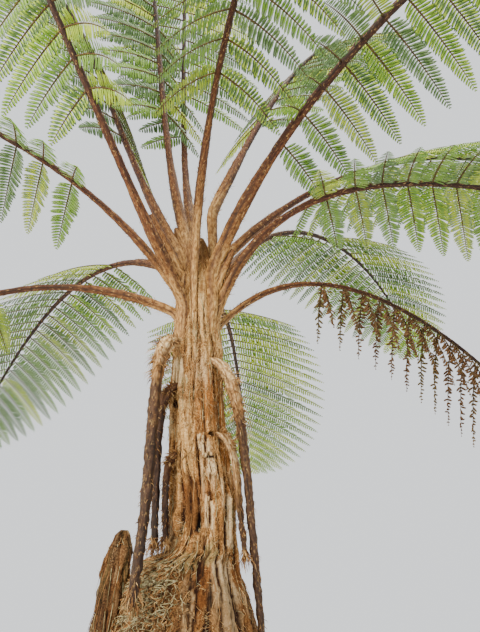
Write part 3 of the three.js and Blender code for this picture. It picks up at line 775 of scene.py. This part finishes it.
# Broken bases of older fronds midway between two live ones, numbered from 0, as far as the crown is closed.
betweenRows = [(2, 3, 0.37), (3, 4, 0.16), (4, 6, 0.05), (8, 9, 0.23)]
baseRules = dict(
    footRadius=0.024, topRadius=0.015, depth=0.3, sideAngle=20, brokenLength=0.03, brokenShare=0.6,
    knobRadius=0.022, knobDistance=0.074, knobPath=[(1, 0), (0.95, 0.05), (0.8, 0.1)], bluntness=0.02,
)
for index, (one, other, reach) in enumerate(betweenRows, 1):
    runs = np.linspace(0, reach, 9)
    pair = [frondTable[one], frondTable[other]]
    middle = sum(readCurve(frond["arch"], runs / frond["length"]) for frond in pair) / 2
    path, length = evenly(np.concatenate([middle[:1] - [[0, 0, baseRules["depth"]]], middle]), 300)
    places = [0, reach - baseRules["brokenLength"], reach]
    foot, top = baseRules["footRadius"], baseRules["topRadius"]
    radii = [foot, top, top * baseRules["brokenShare"]]
    base = stalkSkin(
        f"brokenBase{index}", path, length, -baseRules["depth"], lambda run: np.interp(run, places, radii),
        outward(baseRules["sideAngle"]), liveStalkSkin, brokenSkin, index)
    dress(base, "live_stalk")


# A knob's radius from its run: that of a column up to its top, and rounded off above it.
def knobRadius(run, over):
    onColumn = stalkRadius(frondTable[0], np.minimum(run, 0))
    rounded = np.sqrt(np.clip(1 - run / over, baseRules["bluntness"], 1))
    return np.where(run < 0, onColumn, baseRules["knobRadius"] * rounded)


# Short knobs lower on the neck: angle round it, and the height where they end.
knobs = [(210, 2.70), (334, 2.66), (28, 2.66), (66, 2.78), (96, 2.70), (162, 2.75)]
for index, (angle, top) in enumerate(knobs, 1):
    distance = baseRules["knobDistance"]
    knob = np.array([polar(angle, distance * scale, top + rise) for scale, rise in baseRules["knobPath"]])
    path, length = columnPath(angle, top, knob)
    over = length - columnRules["foot"]
    base = stalkSkin(
        f"oldBase{index}", path, length, -columnRules["foot"], lambda run: knobRadius(run, over),
        outward(angle + 90), liveStalkSkin, knobSkin, index)
    dress(base, "live_stalk")

print("trunk")
# usualRadius turns the angle from a mark into a distance round the trunk. Of the grid's rows, rowShares lie
# below rowHeights and the top, and its columns crowd towards the front by frontTurn degrees.
trunkValues = dict(
    around=236, along=400, top=2.975, usualRadius=0.115, frontTurn=27, rowShares=[0, 0.2, 0.85, 1],
    rowHeights=[0, 1.3, 2.7], narrowNeck=0.2, neck=(2.42, 2.62),
)
ridgeRules = dict(ridges=7, depth=0.055, flareRidges=5, flareDepth=0.1, flareHeight=0.5, twist=1.1)
ropeRules = dict(
    count=30, seed=3, drift=42, wave=9, waves=(2, 4), width=(0.010, 0.026), rise=(0.006, 0.012), sunk=0.004,
)

# Hollows and lumps of the trunk: angle, height, half width, half height, and how proud they stand, which is
# below zero for a hollow. sharp above 1 makes the lower edge of a mark steeper than its top, and tilt leans
# it, in degrees of turn for each metre of height.
markColumns = ["angle", "height", "across", "up", "proud", "sharp", "tilt"]
markRows = [
    [246, 1.80, 0.037, 0.118, -0.042, 1.1, 0], [256, 1.735, 0.018, 0.034, -0.026, 1.6, 0],
    [207, 2.195, 0.022, 0.030, -0.045, 1.2, 0], [298, 2.068, 0.018, 0.009, -0.040, 1.0, 0],
    [225, 1.95, 0.010, 0.14, -0.010, 1.0, 0], [315, 1.90, 0.010, 0.18, -0.014, 1.0, 0],
    [263, 1.96, 0.006, 0.12, -0.008, 1.0, 0], [306, 2.23, 0.034, 0.13, 0.016, 2.2, 0],
    [268, 2.17, 0.016, 0.16, 0.008, 1.2, 0], [217, 1.72, 0.014, 0.06, 0.028, 2.0, 30],
    [318, 1.80, 0.017, 0.17, 0.016, 1.0, -30], [285, 1.60, 0.014, 0.14, 0.016, 1.0, -70],
    [216, 1.87, 0.017, 0.15, 0.012, 1.0, 0], [205, 1.36, 0.044, 0.22, 0.030, 0.7, 0],
]
marks = [dict(zip(markColumns, row)) for row in markRows]
markRules = dict(hollowSteepness=2.2, lumpSteepness=2)
# Pale split plates of old wood: angle, height, half width, half height, and how proud they stand.
plates = [
    (268, 2.030, 0.008, 0.034, 0.004), (276, 2.022, 0.006, 0.040, 0.003), (286, 2.015, 0.010, 0.026, 0.005),
    (287, 1.940, 0.015, 0.036, 0.006), (304, 1.850, 0.005, 0.070, 0.004), (275, 1.770, 0.007, 0.050, 0.004),
    (283, 1.755, 0.006, 0.062, 0.005), (318, 1.735, 0.007, 0.075, 0.004), (326, 1.700, 0.008, 0.060, 0.004),
    (305, 1.500, 0.007, 0.090, 0.004), (268, 1.440, 0.008, 0.060, 0.004), (293, 1.560, 0.006, 0.070, 0.003),
]
# Patches of colour: angle, height, half width and half height of each.
patches = dict(
    velvet=[(216, 1.87, 0.016, 0.12), (217, 1.71, 0.014, 0.055), (222, 2.05, 0.026, 0.12),
            (244, 2.02, 0.022, 0.15)],
    bare=[(203, 2.335, 0.026, 0.060), (226, 2.325, 0.016, 0.055), (244, 2.290, 0.009, 0.018),
          (300, 1.56, 0.012, 0.05), (312, 1.475, 0.030, 0.12)],
    rust=[(280, 2.19, 0.020, 0.100), (300, 2.19, 0.028, 0.100), (328, 2.20, 0.028, 0.10),
          (276, 1.52, 0.013, 0.08), (330, 1.98, 0.013, 0.10), (200, 1.38, 0.040, 0.16)],
    green=[(240, 2.275, 0.014, 0.022), (252, 1.60, 0.030, 0.03), (284, 1.63, 0.016, 0.03),
           (232, 1.36, 0.04, 0.03)],
    # hollow and pit are painted shade: in the hollows, under the shelf and in a groove, and in the holes and
    # cracks
    hollow=[(244, 1.80, 0.031, 0.086), (251, 1.74, 0.022, 0.044), (228, 1.50, 0.050, 0.095),
            (263, 1.96, 0.003, 0.10)],
    pit=[(256, 1.73, 0.010, 0.022), (203, 2.195, 0.021, 0.026), (298, 2.066, 0.013, 0.005),
         (284, 1.975, 0.019, 0.004), (281, 1.585, 0.002, 0.04), (288, 1.50, 0.0015, 0.04)],
)
# The shelf at the left of the front: the angles where it starts and ends, how wide its ends are, its level,
# how far that drops towards the front, how ragged it is, how steep its edge is, its radius, and how much it
# widens for each metre down.
shelfRules = dict(
    start=186, end=246, ends=12, level=1.63, drop=0.055, ragged=0.012, edge=0.022, radius=0.186,
    widening=0.16,
)
# The skin's fine relief: how proud its two sets of strands and its crumbs stand, and how much rougher the
# crumbs are below a height.
reliefRules = dict(
    strands=0.0040, fineStrands=0.0026, crumbs=0.0014, roughCrumbs=0.0018, roughBelow=(1.7, 1.5),
)


def trunkMiddle(height):
    return np.stack([np.interp(height, trunkRows[:, 0], trunkRows[:, column]) for column in (1, 2, 3)])


def trunkAngle(u):
    return 360 * u + trunkValues["frontTurn"] * np.cos(2 * math.pi * u)


def trunkHeight(v):
    return np.interp(v, trunkValues["rowShares"], [*trunkValues["rowHeights"], trunkValues["top"]])


# The distance round the trunk from an angle in degrees to another, at the trunk's usual radius.
def distanceRound(angle, middle):
    return np.radians(turnBetween(angle, middle)) * trunkValues["usualRadius"]


# The radius of the trunk's outside at an angle in degrees and a height: ridges, flare and wandering ropes
# of matted root.
def trunkRadius(angle, height):
    turn = np.radians(angle)
    mean = trunkMiddle(height)[0]
    wave = ridgeRules["depth"] * np.cos(ridgeRules["ridges"] * turn + ridgeRules["twist"] * height)
    flare = ridgeRules["flareDepth"] * np.maximum(0, 1 - height / ridgeRules["flareHeight"])
    radius = mean * (1 + wave + flare * np.cos(ridgeRules["flareRidges"] * turn))
    ropes = np.zeros_like(radius)
    ropeRng = np.random.default_rng(ropeRules["seed"])
    for start in np.linspace(0, 360, ropeRules["count"], endpoint=False):
        drift = ropeRng.uniform(-1, 1) * ropeRules["drift"] * height / 3
        waves = height * ropeRng.uniform(*ropeRules["waves"]) + ropeRng.uniform(0, 6)
        drift = drift + ropeRules["wave"] * np.sin(waves)
        away = np.radians(turnBetween(angle, start + drift)) * mean
        width = ropeRng.uniform(*ropeRules["width"])
        rise = ropeRng.uniform(*ropeRules["rise"])
        ropes = np.maximum(ropes, rise * np.sqrt(np.maximum(0, 1 - (away / width) ** 2)))
    narrowed = 1 - trunkValues["narrowNeck"] * smooth(*trunkValues["neck"], height)
    return (radius + ropes - ropeRules["sunk"]) * narrowed


# How far a place lies within a plate, from 0 to 1, with ragged edges.
def plateField(angle, height, plate):
    middle, level, across, up, _ = plate
    ragged = 0.5 * lattice(angle / 360, height / trunkValues["top"], 150, 150, 25)
    away = np.abs(distanceRound(angle, middle)) / across
    rise = np.abs(height - level) / up
    return smooth(1.15, 0.85, away + ragged) * smooth(1.1, 0.9, rise + ragged)


# How far a hollow or a lump moves the skin out at a place.
def markField(angle, height, mark):
    above = height - mark["height"]
    away = distanceRound(angle, mark["angle"] + mark["tilt"] * above) / mark["across"]
    up = above / mark["up"]
    up = np.where(up < 0, up * mark["sharp"], up)
    steepness = markRules["hollowSteepness"] if mark["proud"] < 0 else markRules["lumpSteepness"]
    return mark["proud"] * np.exp(-(away ** 2 + up ** 2) ** steepness)


# How far a place lies within the shelf, from 0 to 1.
def shelfField(angle, height, level):
    start, end, ends = shelfRules["start"], shelfRules["end"], shelfRules["ends"]
    inside = smooth(level, level - shelfRules["edge"], height)
    return inside * smooth(start - ends, start, angle) * smooth(end + ends, end, angle)


def trunkRelief(angle, height):
    u, v = angle / 360, height / trunkValues["top"]
    radius = trunkRadius(angle, height)
    strands = lattice(u + 0.1 * v, v, 90, 20, 11) * reliefRules["strands"]
    strands = strands + lattice(u + 0.04 * v, v, 190, 44, 12) * reliefRules["fineStrands"]
    lower = smooth(*reliefRules["roughBelow"], height)
    crumbs = lattice(u, v, 220, 300, 13) * (reliefRules["crumbs"] + reliefRules["roughCrumbs"] * lower)
    ledge = shelfRules["radius"] + (shelfRules["level"] - height) * shelfRules["widening"]
    level = shelfRules["level"] + shelfRules["ragged"] * lattice(u, v * 0, 40, 2, 14)
    level = level - shelfRules["drop"] * smooth(shelfRules["start"], shelfRules["end"], angle)
    inside = shelfField(angle, height, level)
    radius = np.maximum(radius, radius + (ledge - radius) * inside) + strands + crumbs
    for mark in marks:
        radius = radius + markField(angle, height, mark)
    for plate in plates:
        radius = radius + plate[4] * plateField(angle, height, plate)
    return radius


def onTrunk(angle, height, proud=0.0):
    _, right, back = trunkMiddle(height)
    radius = trunkRelief(angle, height) + proud
    turn = np.radians(angle)
    return np.stack([right + radius * np.cos(turn), back + radius * np.sin(turn), height], -1)


# Where the trunk's tints lie: the heights over which each starts and how strong it is. Fibres keep off a
# patch as far as bareReach times its half sizes.
maskRules = dict(
    neckDown=(2.30, 2.52), velvetFrom=(1.6, 2.2), green=0.6, lowDarkening=(1.75, 1.45), lowStrength=0.75,
    topDarkening=(2.6, 2.86), bare=0.9, rubbed=0.6, rust=0.6, creaseSteps=(-7, -3.5, 3.5, 7),
    creaseDepth=(0.0002, 0.006), bareReach=1.1,
)


def trunkMasks(u, v):
    angle, height = trunkAngle(u), trunkHeight(v)
    u, v = angle / 360, height / trunkValues["top"]
    ragged = lattice(u, v, 70, 90, 21) * 0.4 + lattice(u, v, 160, 50, 22) * 0.35
    masks = {"velvet": smooth(*maskRules["neckDown"], height + ragged * 0.14)}
    for key, places in patches.items():
        field = np.zeros_like(height)
        for middle, level, across, up in places:
            away = distanceRound(angle, middle) / across
            field = np.maximum(field, 1.8 - np.hypot(away, (height - level) / up) + ragged)
        masks[key] = np.maximum(masks.get(key, 0), smooth(0.4, 0.8, field))
    masks["velvet"] = masks["velvet"] * smooth(*maskRules["velvetFrom"], height)
    masks["green"] = masks["green"] * maskRules["green"]
    # the skin is darker low on the trunk and near its top in the crown
    low = smooth(*maskRules["lowDarkening"], height + ragged * 0.1)
    masks["damp"] = maskRules["lowStrength"] * low + smooth(*maskRules["topDarkening"], height + ragged * 0.04)
    # loose rubbed ridges and rusty runs all round the lower trunk, and the plates of pale wood
    loose = 1 - masks["velvet"]
    rubbed = maskRules["rubbed"] * smooth(0.4, 0.85, lattice(u, v, 40, 14, 23)) * loose
    masks["bare"] = np.maximum(masks["bare"] * maskRules["bare"], rubbed * (1 - masks["hollow"]))
    for plate in plates:
        masks["bare"] = np.maximum(masks["bare"], plateField(angle, height, plate))
    runs = maskRules["rust"] * smooth(0.4, 0.8, lattice(u, v, 26, 10, 24)) * loose
    masks["rust"] = np.maximum(masks["rust"], runs)
    # a place is in a crease where the skin stands out farther on both sides of it, and there the colour gets
    # painted shade
    wide = sum(trunkRelief(angle + step, height) for step in maskRules["creaseSteps"]) / 4
    masks["crease"] = smooth(*maskRules["creaseDepth"], wide - trunkRelief(angle, height))
    return masks


trunkSkin = wrapSkin(
    "trunkSkin", trunkValues["around"], trunkValues["along"],
    lambda u, v: onTrunk(trunkAngle(u), trunkHeight(v)), [trunkFibre], trunkMasks)
dress(trunkSkin, "trunk_fibre", "trunk")

print("stump")
stumpRules = dict(
    distance=0.38, angle=183, topShift=0.125, bendHeight=0.6, height=1.715, footRadius=0.120,
    topRadius=0.046, taper=0.7, roundedFrom=0.92, roundedTo=0.015, lobeDepth=0.05, ragged=0.010,
    strands=0.006, crumbs=0.003, around=96, along=220, creaseSteps=(-0.03, -0.015, 0.015, 0.03),
    creaseDepth=(0.0005, 0.008),
)


# The middle of the stump at a share of its height, on a quadratic curve.
def stumpMiddle(share):
    foot = polar(stumpRules["angle"], stumpRules["distance"], 0)
    bend = foot + np.array([0, 0, stumpRules["bendHeight"]])
    top = foot + np.array([stumpRules["topShift"], 0, stumpRules["height"]])
    share = np.asarray(share)[..., None]
    return (1 - share) ** 2 * foot + 2 * share * (1 - share) * bend + share ** 2 * top


def stumpRadius(u, v):
    turn = u * 2 * math.pi
    foot, top = stumpRules["footRadius"], stumpRules["topRadius"]
    radius = foot + (top - foot) * v ** stumpRules["taper"]
    past = np.maximum(0, v - stumpRules["roundedFrom"]) / (1 - stumpRules["roundedFrom"])
    radius = radius * np.sqrt(np.maximum(stumpRules["roundedTo"], 1 - past ** 2))
    lobe = stumpRules["lobeDepth"]
    radius = radius * (1 + lobe * np.cos(turn * 3 + v * 4) + lobe * np.cos(turn * 7 - v * 5))
    radius = radius + stumpRules["ragged"] * smooth(0.8, 0.98, v) * lattice(u, v, 14, 60, 36)
    radius = radius + lattice(u + 0.1 * v, v, 34, 26, 31) * stumpRules["strands"]
    return radius + lattice(u, v, 60, 110, 32) * stumpRules["crumbs"]


def onStump(u, v, proud=0.0):
    turn = u * 2 * math.pi
    around = np.stack([np.cos(turn), np.sin(turn), np.zeros_like(turn)], -1)
    return stumpMiddle(v) + around * (stumpRadius(u, v) + proud)[..., None]


def stumpMasks(u, v):
    # crease is painted shade where the skin stands out farther on both sides of it
    wide = sum(stumpRadius(u + step, v) for step in stumpRules["creaseSteps"]) / 4
    return {
        # darkening makes the whole stump darker, more in some drifts than in others
        "damp": 0.65 + 0.3 * lattice(u, v, 8, 20, 37),
        "rust": 0.35 * smooth(0.2, 0.7, lattice(u, v, 9, 14, 33)),
        "bare": 0.5 * smooth(0.5, 0.8, lattice(u, v, 16, 30, 34)),
        "green": 0.35 * smooth(0.5, 0.9, lattice(u, v, 8, 12, 35)),
        "crease": smooth(*stumpRules["creaseDepth"], wide - stumpRadius(u, v)),
    }


stumpSkin = wrapSkin(
    "stumpSkin", stumpRules["around"], stumpRules["along"], onStump, [stumpFibre], stumpMasks)
dress(stumpSkin, "stump_fibre", "side_stump")

print("dead stalks")
# One row for each dead stalk: where it leaves the trunk, how far it kinks out, where its tip hangs, its
# radius, and how much of that it loses to the tip.
deadColumns = ["angle", "height", "knee", "tipAngle", "tipDistance", "tipHeight", "thickness", "taper"]
deadRows = [
    [208, 2.455, 0.103, 230, 0.305, 1.46, 0.024, 0.3], [212, 2.265, 0.052, 198, 0.146, 1.65, 0.018, 0.3],
    [208, 1.99, 0.036, 209, 0.114, 1.67, 0.014, 0.2], [293, 2.365, 0.093, 344, 0.319, 0.90, 0.020, 0.6],
    [312, 2.07, 0.051, 331, 0.226, 1.62, 0.014, 0.5], [56, 2.4, 0.110, 66, 0.330, 0.80, 0.017, 0.5],
    [86, 2.33, 0.104, 88, 0.325, 0.95, 0.016, 0.5], [116, 2.43, 0.110, 110, 0.330, 0.72, 0.018, 0.5],
]
# The rotten stalks are darker, and one has dried into a flat flap.
rotten, flap = (2, 3), 5
deadTable = [dict(zip(deadColumns, row)) for row in deadRows]
hangRules = dict(
    rootShare=0.6, liftOut=1.9, liftUp=0.5, dropShare=0.35, swell=0.35, swellAt=0.13, swellWidth=0.07,
    taperPower=1.3, flapWidth=1.6,
)


def prepareDeadStalks():
    for stalk in deadTable:
        radius, right, back = trunkMiddle(stalk["height"])
        middle = np.array([right, back, 0])
        halfway = (stalk["angle"] + stalk["tipAngle"]) / 2
        knee, drop = stalk["knee"], (stalk["height"] - stalk["tipHeight"]) * hangRules["dropShare"]
        out, up = knee * hangRules["liftOut"], knee * hangRules["liftUp"]
        corners = [
            polar(stalk["angle"], radius * hangRules["rootShare"], stalk["height"]) + middle,
            polar(halfway, radius + out, stalk["height"] + up) + middle,
            polar(stalk["tipAngle"], radius + knee, stalk["height"] - drop) + middle,
            polar(stalk["tipAngle"], stalk["tipDistance"], stalk["tipHeight"]),
        ]
        stalk["curve"], stalk["length"] = evenly(cubic(corners))
        stalk["side"] = outward(stalk["angle"] + 90)


def hangRadius(stalk, share):
    past = (share - hangRules["swellAt"]) / hangRules["swellWidth"]
    knee = 1 + hangRules["swell"] * np.exp(-past ** 2)
    return stalk["thickness"] * knee * (1 - stalk["taper"] * share ** hangRules["taperPower"])


prepareDeadStalks()
for index, stalk in enumerate(deadTable, 1):
    piece = stalkSkin(
        f"deadStalk{index}", stalk["curve"], stalk["length"], 0.0,
        lambda run: hangRadius(stalk, run / stalk["length"]), stalk["side"],
        rottenStalkSkin if index in rotten else deadStalkSkin, deadSkin, index,
        hangRules["flapWidth"] if index == flap else 1)
    dress(piece, "dead_stalk", f"dead_stalk_{index}")

print("down, scales and rootlets")
# Every piece of loose fibre has its count, its strands' thickness, its materials and the share of each.
# Hairs have a length and how far they stand out, fibres the heights that they cover, their span and lift.
# runs is where hairs start, in metres along a live stalk, and part the same as shares of a dead one's length.
stalkDown = dict(
    slot="live_stalk", count=190, runs=(-0.5, 0.28), length=0.026, out=0.7, thick=0.0011,
    materials=[goldenDown, brownFibres], shares=[0.7, 0.3],
)
stalkScales = dict(
    slot="live_stalk", count=150, runs=(0.1, 1.3), length=0.014, out=0.5, thick=0.0012,
    materials=[darkScales, goldenDown], shares=[0.6, 0.4],
)
trunkFibres = dict(
    slot="trunk_fibre", count=1500, heights=(0.15, 2.6), span=0.12, lift=0.014, thick=0.0016,
    materials=[brownFibres, darkScales, paleRootlets, goldenDown], shares=[0.4, 0.2, 0.2, 0.2],
)
rootDown = dict(
    slot="trunk_fibre", count=6800, heights=(0.7, 2.6), span=0.026, lift=0.008, thick=0.0012,
    materials=[brownFibres, goldenDown, darkScales, paleRootlets], shares=[0.35, 0.3, 0.25, 0.1],
)
neckDown = dict(
    slot="trunk_fibre", count=1400, heights=(2.2, 2.86), span=0.035, lift=0.012, thick=0.0010,
    materials=[goldenDown, brownFibres], shares=[0.7, 0.3],
)
deadScales = dict(
    slot="dead_stalk", count=170, part=(0.08, 0.98), length=0.018, out=0.5, thick=0.0014,
    materials=[darkScales, brownFibres, goldenDown], shares=[0.4, 0.35, 0.25],
)
deadShreds = dict(
    slot="dead_stalk", count=170, part=(0.06, 0.26), length=0.045, out=0.8, thick=0.0018,
    materials=[goldenDown, brownFibres, darkScales], shares=[0.4, 0.4, 0.2],
)
tipShreds = dict(count=56, part=(0.94, 1.0), length=0.060, out=0.2)
stoutStalk = 0.0185        # a dead stalk thinner than this has shreds half as long


# Short hairs on a stalk's skin that lean along it, between two shares of its length.
def hairsOn(points, length, radiusAt, side, shares, hair):
    count = hair["count"]
    share = rng.uniform(shares[0], shares[1], count)
    turn = rng.uniform(0, 2 * math.pi, count)
    centre, tangent = readCurve(points, share), readTangent(points, share)
    across = unit(side - tangent * (tangent @ side)[:, None])
    over = np.cross(across, tangent)
    radial = across * np.cos(turn)[:, None] + over * np.sin(turn)[:, None]
    start = centre + radial * (radiusAt(share * length) - 0.001)[:, None]
    size = hair["length"] * rng.uniform(0.5, 1.2, count)
    lean = rng.normal(0, 0.35, (count, 3))
    direction = unit(tangent + radial * hair["out"] + lean)
    steps = np.linspace(0, 1, 3)[None, :, None]
    curl = radial[:, None] * (steps * (1 - steps) * 0.5)
    return start[:, None] + (direction[:, None] * steps + curl) * size[:, None, None]


def taperedStrands(name, paths, fibre):
    count, rings = paths.shape[:2]
    taper = 1 - 0.85 * np.linspace(0, 1, rings) ** 1.5
    thickness = fibre["thick"] * rng.uniform(0.7, 1.2, (count, 1)) * taper
    chosen = rng.choice(len(fibre["materials"]), count, p=fibre["shares"])
    dress(strandsObject(name, paths, thickness, fibre["materials"], chosen), fibre["slot"])


def buildStalkHair():
    down, scales = [], []
    for frond in frondTable:
        start = frond["length"] - frond["pathLength"]
        radiusAt = lambda run: stalkRadius(frond, run + start)
        for piece, hair in ((down, stalkDown), (scales, stalkScales)):
            shares = [(run - start) / frond["pathLength"] for run in hair["runs"]]
            piece.append(hairsOn(frond["path"], frond["pathLength"], radiusAt, frond["side"], shares, hair))
    taperedStrands("stalkDown", np.concatenate(down), stalkDown)
    taperedStrands("stalkScales", np.concatenate(scales), stalkScales)


# Whether a place on the trunk lies in a rubbed patch or in the painted shade of a hollow or a hole, or just
# beside it, where no fibre starts.
def inPatch(angle, height):
    inside = np.zeros(len(angle), bool)
    for middle, level, across, up in patches["bare"] + patches["pit"] + patches["hollow"]:
        away = distanceRound(angle, middle) / across
        inside = inside | (np.hypot(away, (height - level) / up) < maskRules["bareReach"])
    return inside


# Fibres that lie on the trunk and follow its height, with their ends lifted a little.
def trunkFibrePaths(fibre):
    angle = rng.uniform(0, 360, fibre["count"])
    height = rng.uniform(*fibre["heights"], fibre["count"])
    free = ~inPatch(angle, height)
    angle, height, count = angle[free], height[free], free.sum()
    length = fibre["span"] * rng.uniform(0.4, 1.3, count)
    steps = np.linspace(0, 1, 5)[None]
    wander = rng.normal(0, 5, (count, 1)) * steps + rng.normal(0, 1.5, (count, 5))
    proud = 0.001 + fibre["lift"] * rng.uniform(0, 1, (count, 1)) ** 2 * steps ** 2
    heights = height[:, None] + (length[:, None] * steps) * rng.choice([-1, 1], (count, 1), p=[0.7, 0.3])
    heights = np.maximum(heights, 0.006)
    angles = angle[:, None] + wander
    return onTrunk(angles.ravel(), heights.ravel(), proud.ravel()).reshape(count, 5, 3)


def buildTrunkFibres():
    for name, fibre in (("trunkFibres", trunkFibres), ("rootDown", rootDown), ("neckDown", neckDown)):
        taperedStrands(name, trunkFibrePaths(fibre), fibre)


# Where the rootlets over the shelf lie, in degrees and metres, how they turn, and the tufts along its edge.
tangleRules = dict(
    slot="trunk_fibre", count=2100, angle=224, angleSpread=15, below=0.04, depth=0.34, turn=0.9, bend=0.6,
    length=(0.014, 0.052), proud=(0.002, 0.034), shelfRadius=0.2, tufts=160, tuftAngles=(188, 250),
    tuftLength=(0.02, 0.06), tuftsBelow=0.03, thick=0.0017,
    materials=[paleRootlets, brownFibres, darkScales, goldenDown], shares=[0.45, 0.25, 0.15, 0.15],
)


# The wiry tangle of rootlets over the shelf at the trunk's left front, bent in the middle.
def tanglePaths():
    count = tangleRules["count"]
    angle = rng.normal(tangleRules["angle"], tangleRules["angleSpread"], count)
    depth = tangleRules["depth"] * rng.uniform(0, 1, count) ** 1.3
    height = shelfRules["level"] - tangleRules["below"] - depth
    heading = rng.normal(-math.pi / 2, tangleRules["turn"], count)
    length = rng.uniform(*tangleRules["length"], count)
    steps = np.linspace(-0.5, 0.5, 5)[None]
    bend = rng.normal(0, tangleRules["bend"], (count, 1)) * steps
    along = length[:, None] * steps
    sideways = along * np.cos(heading[:, None] + bend)
    angles = angle[:, None] + np.degrees(sideways / tangleRules["shelfRadius"])
    heights = height[:, None] + along * np.sin(heading[:, None] + bend)
    proud = rng.uniform(*tangleRules["proud"], (count, 1)) * (1 - 2.5 * steps ** 2)
    return onTrunk(angles.ravel(), heights.ravel(), proud.ravel()).reshape(count, 5, 3)


# Tufts that rise from the shelf's edge and hang over it.
def shelfTuftPaths():
    count = tangleRules["tufts"]
    angle = rng.uniform(*tangleRules["tuftAngles"], count)
    size = rng.uniform(*tangleRules["tuftLength"], count)
    drop = shelfRules["drop"] * smooth(shelfRules["start"], shelfRules["end"], angle)
    edge = onTrunk(angle, shelfRules["level"] - tangleRules["tuftsBelow"] - drop, np.full(count, -0.004))
    lean = outward(angle) * 0.5 + rng.normal(0, 0.45, (count, 3)) + [0, 0, 0.35]
    steps = np.linspace(0, 1, 5)
    fall = np.array([0, 0, -0.7]) * (steps ** 2)[None, :, None]
    return edge[:, None] + (unit(lean)[:, None] * steps[None, :, None] + fall) * size[:, None, None]


def buildTangle():
    paths = np.concatenate([tanglePaths(), shelfTuftPaths()])
    taperedStrands("rootletTangle", paths, tangleRules)


# The stump's fibres run down it by span, and its tufts stand at tuftShares, both as shares of its height.
stumpFibres = dict(
    slot="stump_fibre", count=700, shares=[0.5, 0.3, 0.2], materials=[brownFibres, darkScales, paleRootlets],
    thick=0.0016, span=(0.02, 0.08), lift=0.012, tufts=120, tuftShares=(0.93, 0.985),
    tuftLength=(0.012, 0.04),
)


# Fibres that run down the stump, and tufts on its rounded top.
def buildStumpFibres():
    count = stumpFibres["count"]
    u, v = rng.uniform(0, 1, count), rng.uniform(0.1, 0.97, count)
    steps = np.linspace(0, 1, 4)
    us = u[:, None] + rng.normal(0, 0.03, (count, 1)) * steps
    vs = np.clip(v[:, None] - rng.uniform(*stumpFibres["span"], (count, 1)) * steps, 0, 1)
    proud = 0.001 + stumpFibres["lift"] * rng.uniform(0, 1, (count, 1)) ** 2 * steps ** 2
    fibres = onStump(us.ravel(), vs.ravel(), proud.ravel()).reshape(count, 4, 3)
    count = stumpFibres["tufts"]
    around, along = rng.uniform(0, 1, count), rng.uniform(*stumpFibres["tuftShares"], count)
    feet = onStump(around, along, np.full(count, -0.004))
    lean = rng.normal(0, 0.5, (count, 3)) + [0, 0, 0.8]
    size = rng.uniform(*stumpFibres["tuftLength"], count)[:, None, None]
    tufts = feet[:, None] + unit(lean)[:, None] * steps[None, :, None] * size
    taperedStrands("stumpFibres", np.concatenate([fibres, tufts]), stumpFibres)


def buildDeadScales():
    scales, shreds = [], []
    for stalk in deadTable:
        radiusAt = lambda run: hangRadius(stalk, run / stalk["length"])
        short = 0.5 if stalk["thickness"] < stoutStalk else 1
        kneeShreds = {**deadShreds, "length": deadShreds["length"] * short}
        for piece, hair in ((scales, deadScales), (shreds, kneeShreds), (shreds, tipShreds)):
            piece.append(hairsOn(stalk["curve"], stalk["length"], radiusAt, stalk["side"], hair["part"], hair))
    taperedStrands("deadStalkShreds", np.concatenate(shreds), deadShreds)
    taperedStrands("deadStalkScales", np.concatenate(scales), deadScales)


buildStalkHair()
buildTrunkFibres()
buildTangle()
buildStumpFibres()
buildDeadScales()

print("camera and lights")
cameraValues = dict(
    distance=2.6, height=1.55, tilt=22, yaw=4.05, focalPixels=647, pictureHeight=632, sensor=36,
)
studioValues = dict(floorSize=14, floorDrop=0.002, floorTint="#dcdcd8", skyTint="#eef1f4", skyStrength=1.4)
# Area lights: name, place, what each points at, size, power in watts, and tint.
lightRows = [
    ("keyLight", (-3.2, -5.2, 5.5), (0, 0, 2.6), 3.0, 580, "#ffefd2"),
    ("fillLight", (4.0, -4.0, 2.5), (0, 0, 2.8), 4.0, 70, "#fff6e8"),
    ("sideLight", (-4.6, -0.9, 3.2), (0, 0, 2.2), 2.4, 150, "#fff1d8"),
    ("skyLight", (1.5, 2.5, 10.0), (0, 0, 3.0), 6.0, 600, "#fffbe8"),
]


def buildCamera():
    camera = bpy.data.objects.new("camera", bpy.data.cameras.new("camera"))
    bpy.context.scene.collection.objects.link(camera)
    camera.data.sensor_width = cameraValues["sensor"]
    camera.data.lens = cameraValues["sensor"] * cameraValues["focalPixels"] / cameraValues["pictureHeight"]
    camera.location = (0, -cameraValues["distance"], cameraValues["height"])
    camera.rotation_euler = (math.radians(90 + cameraValues["tilt"]), 0, -math.radians(cameraValues["yaw"]))
    camera.data.clip_end = 200
    bpy.context.scene.camera = camera


def buildFloor():
    floorMesh = bmesh.new()
    bmesh.ops.create_grid(floorMesh, x_segments=1, y_segments=1, size=studioValues["floorSize"])
    mesh = bpy.data.meshes.new("floor")
    floorMesh.to_mesh(mesh)
    floorMesh.free()
    material, tree = newMaterial("paleFloor")
    finishMaterial(tree, {"Base Color": colour(studioValues["floorTint"]), "Roughness": 0.9})
    floor = linkObject("floor", mesh, [material])
    floor.location.z = -studioValues["floorDrop"]


def buildLights():
    world = bpy.data.worlds.new("studio")
    world.use_nodes = True
    world.node_tree.nodes["Background"].inputs[0].default_value = colour(studioValues["skyTint"])
    world.node_tree.nodes["Background"].inputs[1].default_value = studioValues["skyStrength"]
    bpy.context.scene.world = world
    for name, place, target, size, power, tint in lightRows:
        data = bpy.data.lights.new(name, "AREA")
        data.size, data.energy, data.color = size, power, colour(tint)[:3]
        light = bpy.data.objects.new(name, data)
        light.location = place
        back = unit(np.array(place) - np.array(target))
        turn = math.atan2(back[1], back[0])
        light.rotation_euler = (math.acos(back[2]), 0, turn + math.pi / 2)
        bpy.context.scene.collection.objects.link(light)


buildCamera()
buildFloor()
buildLights()
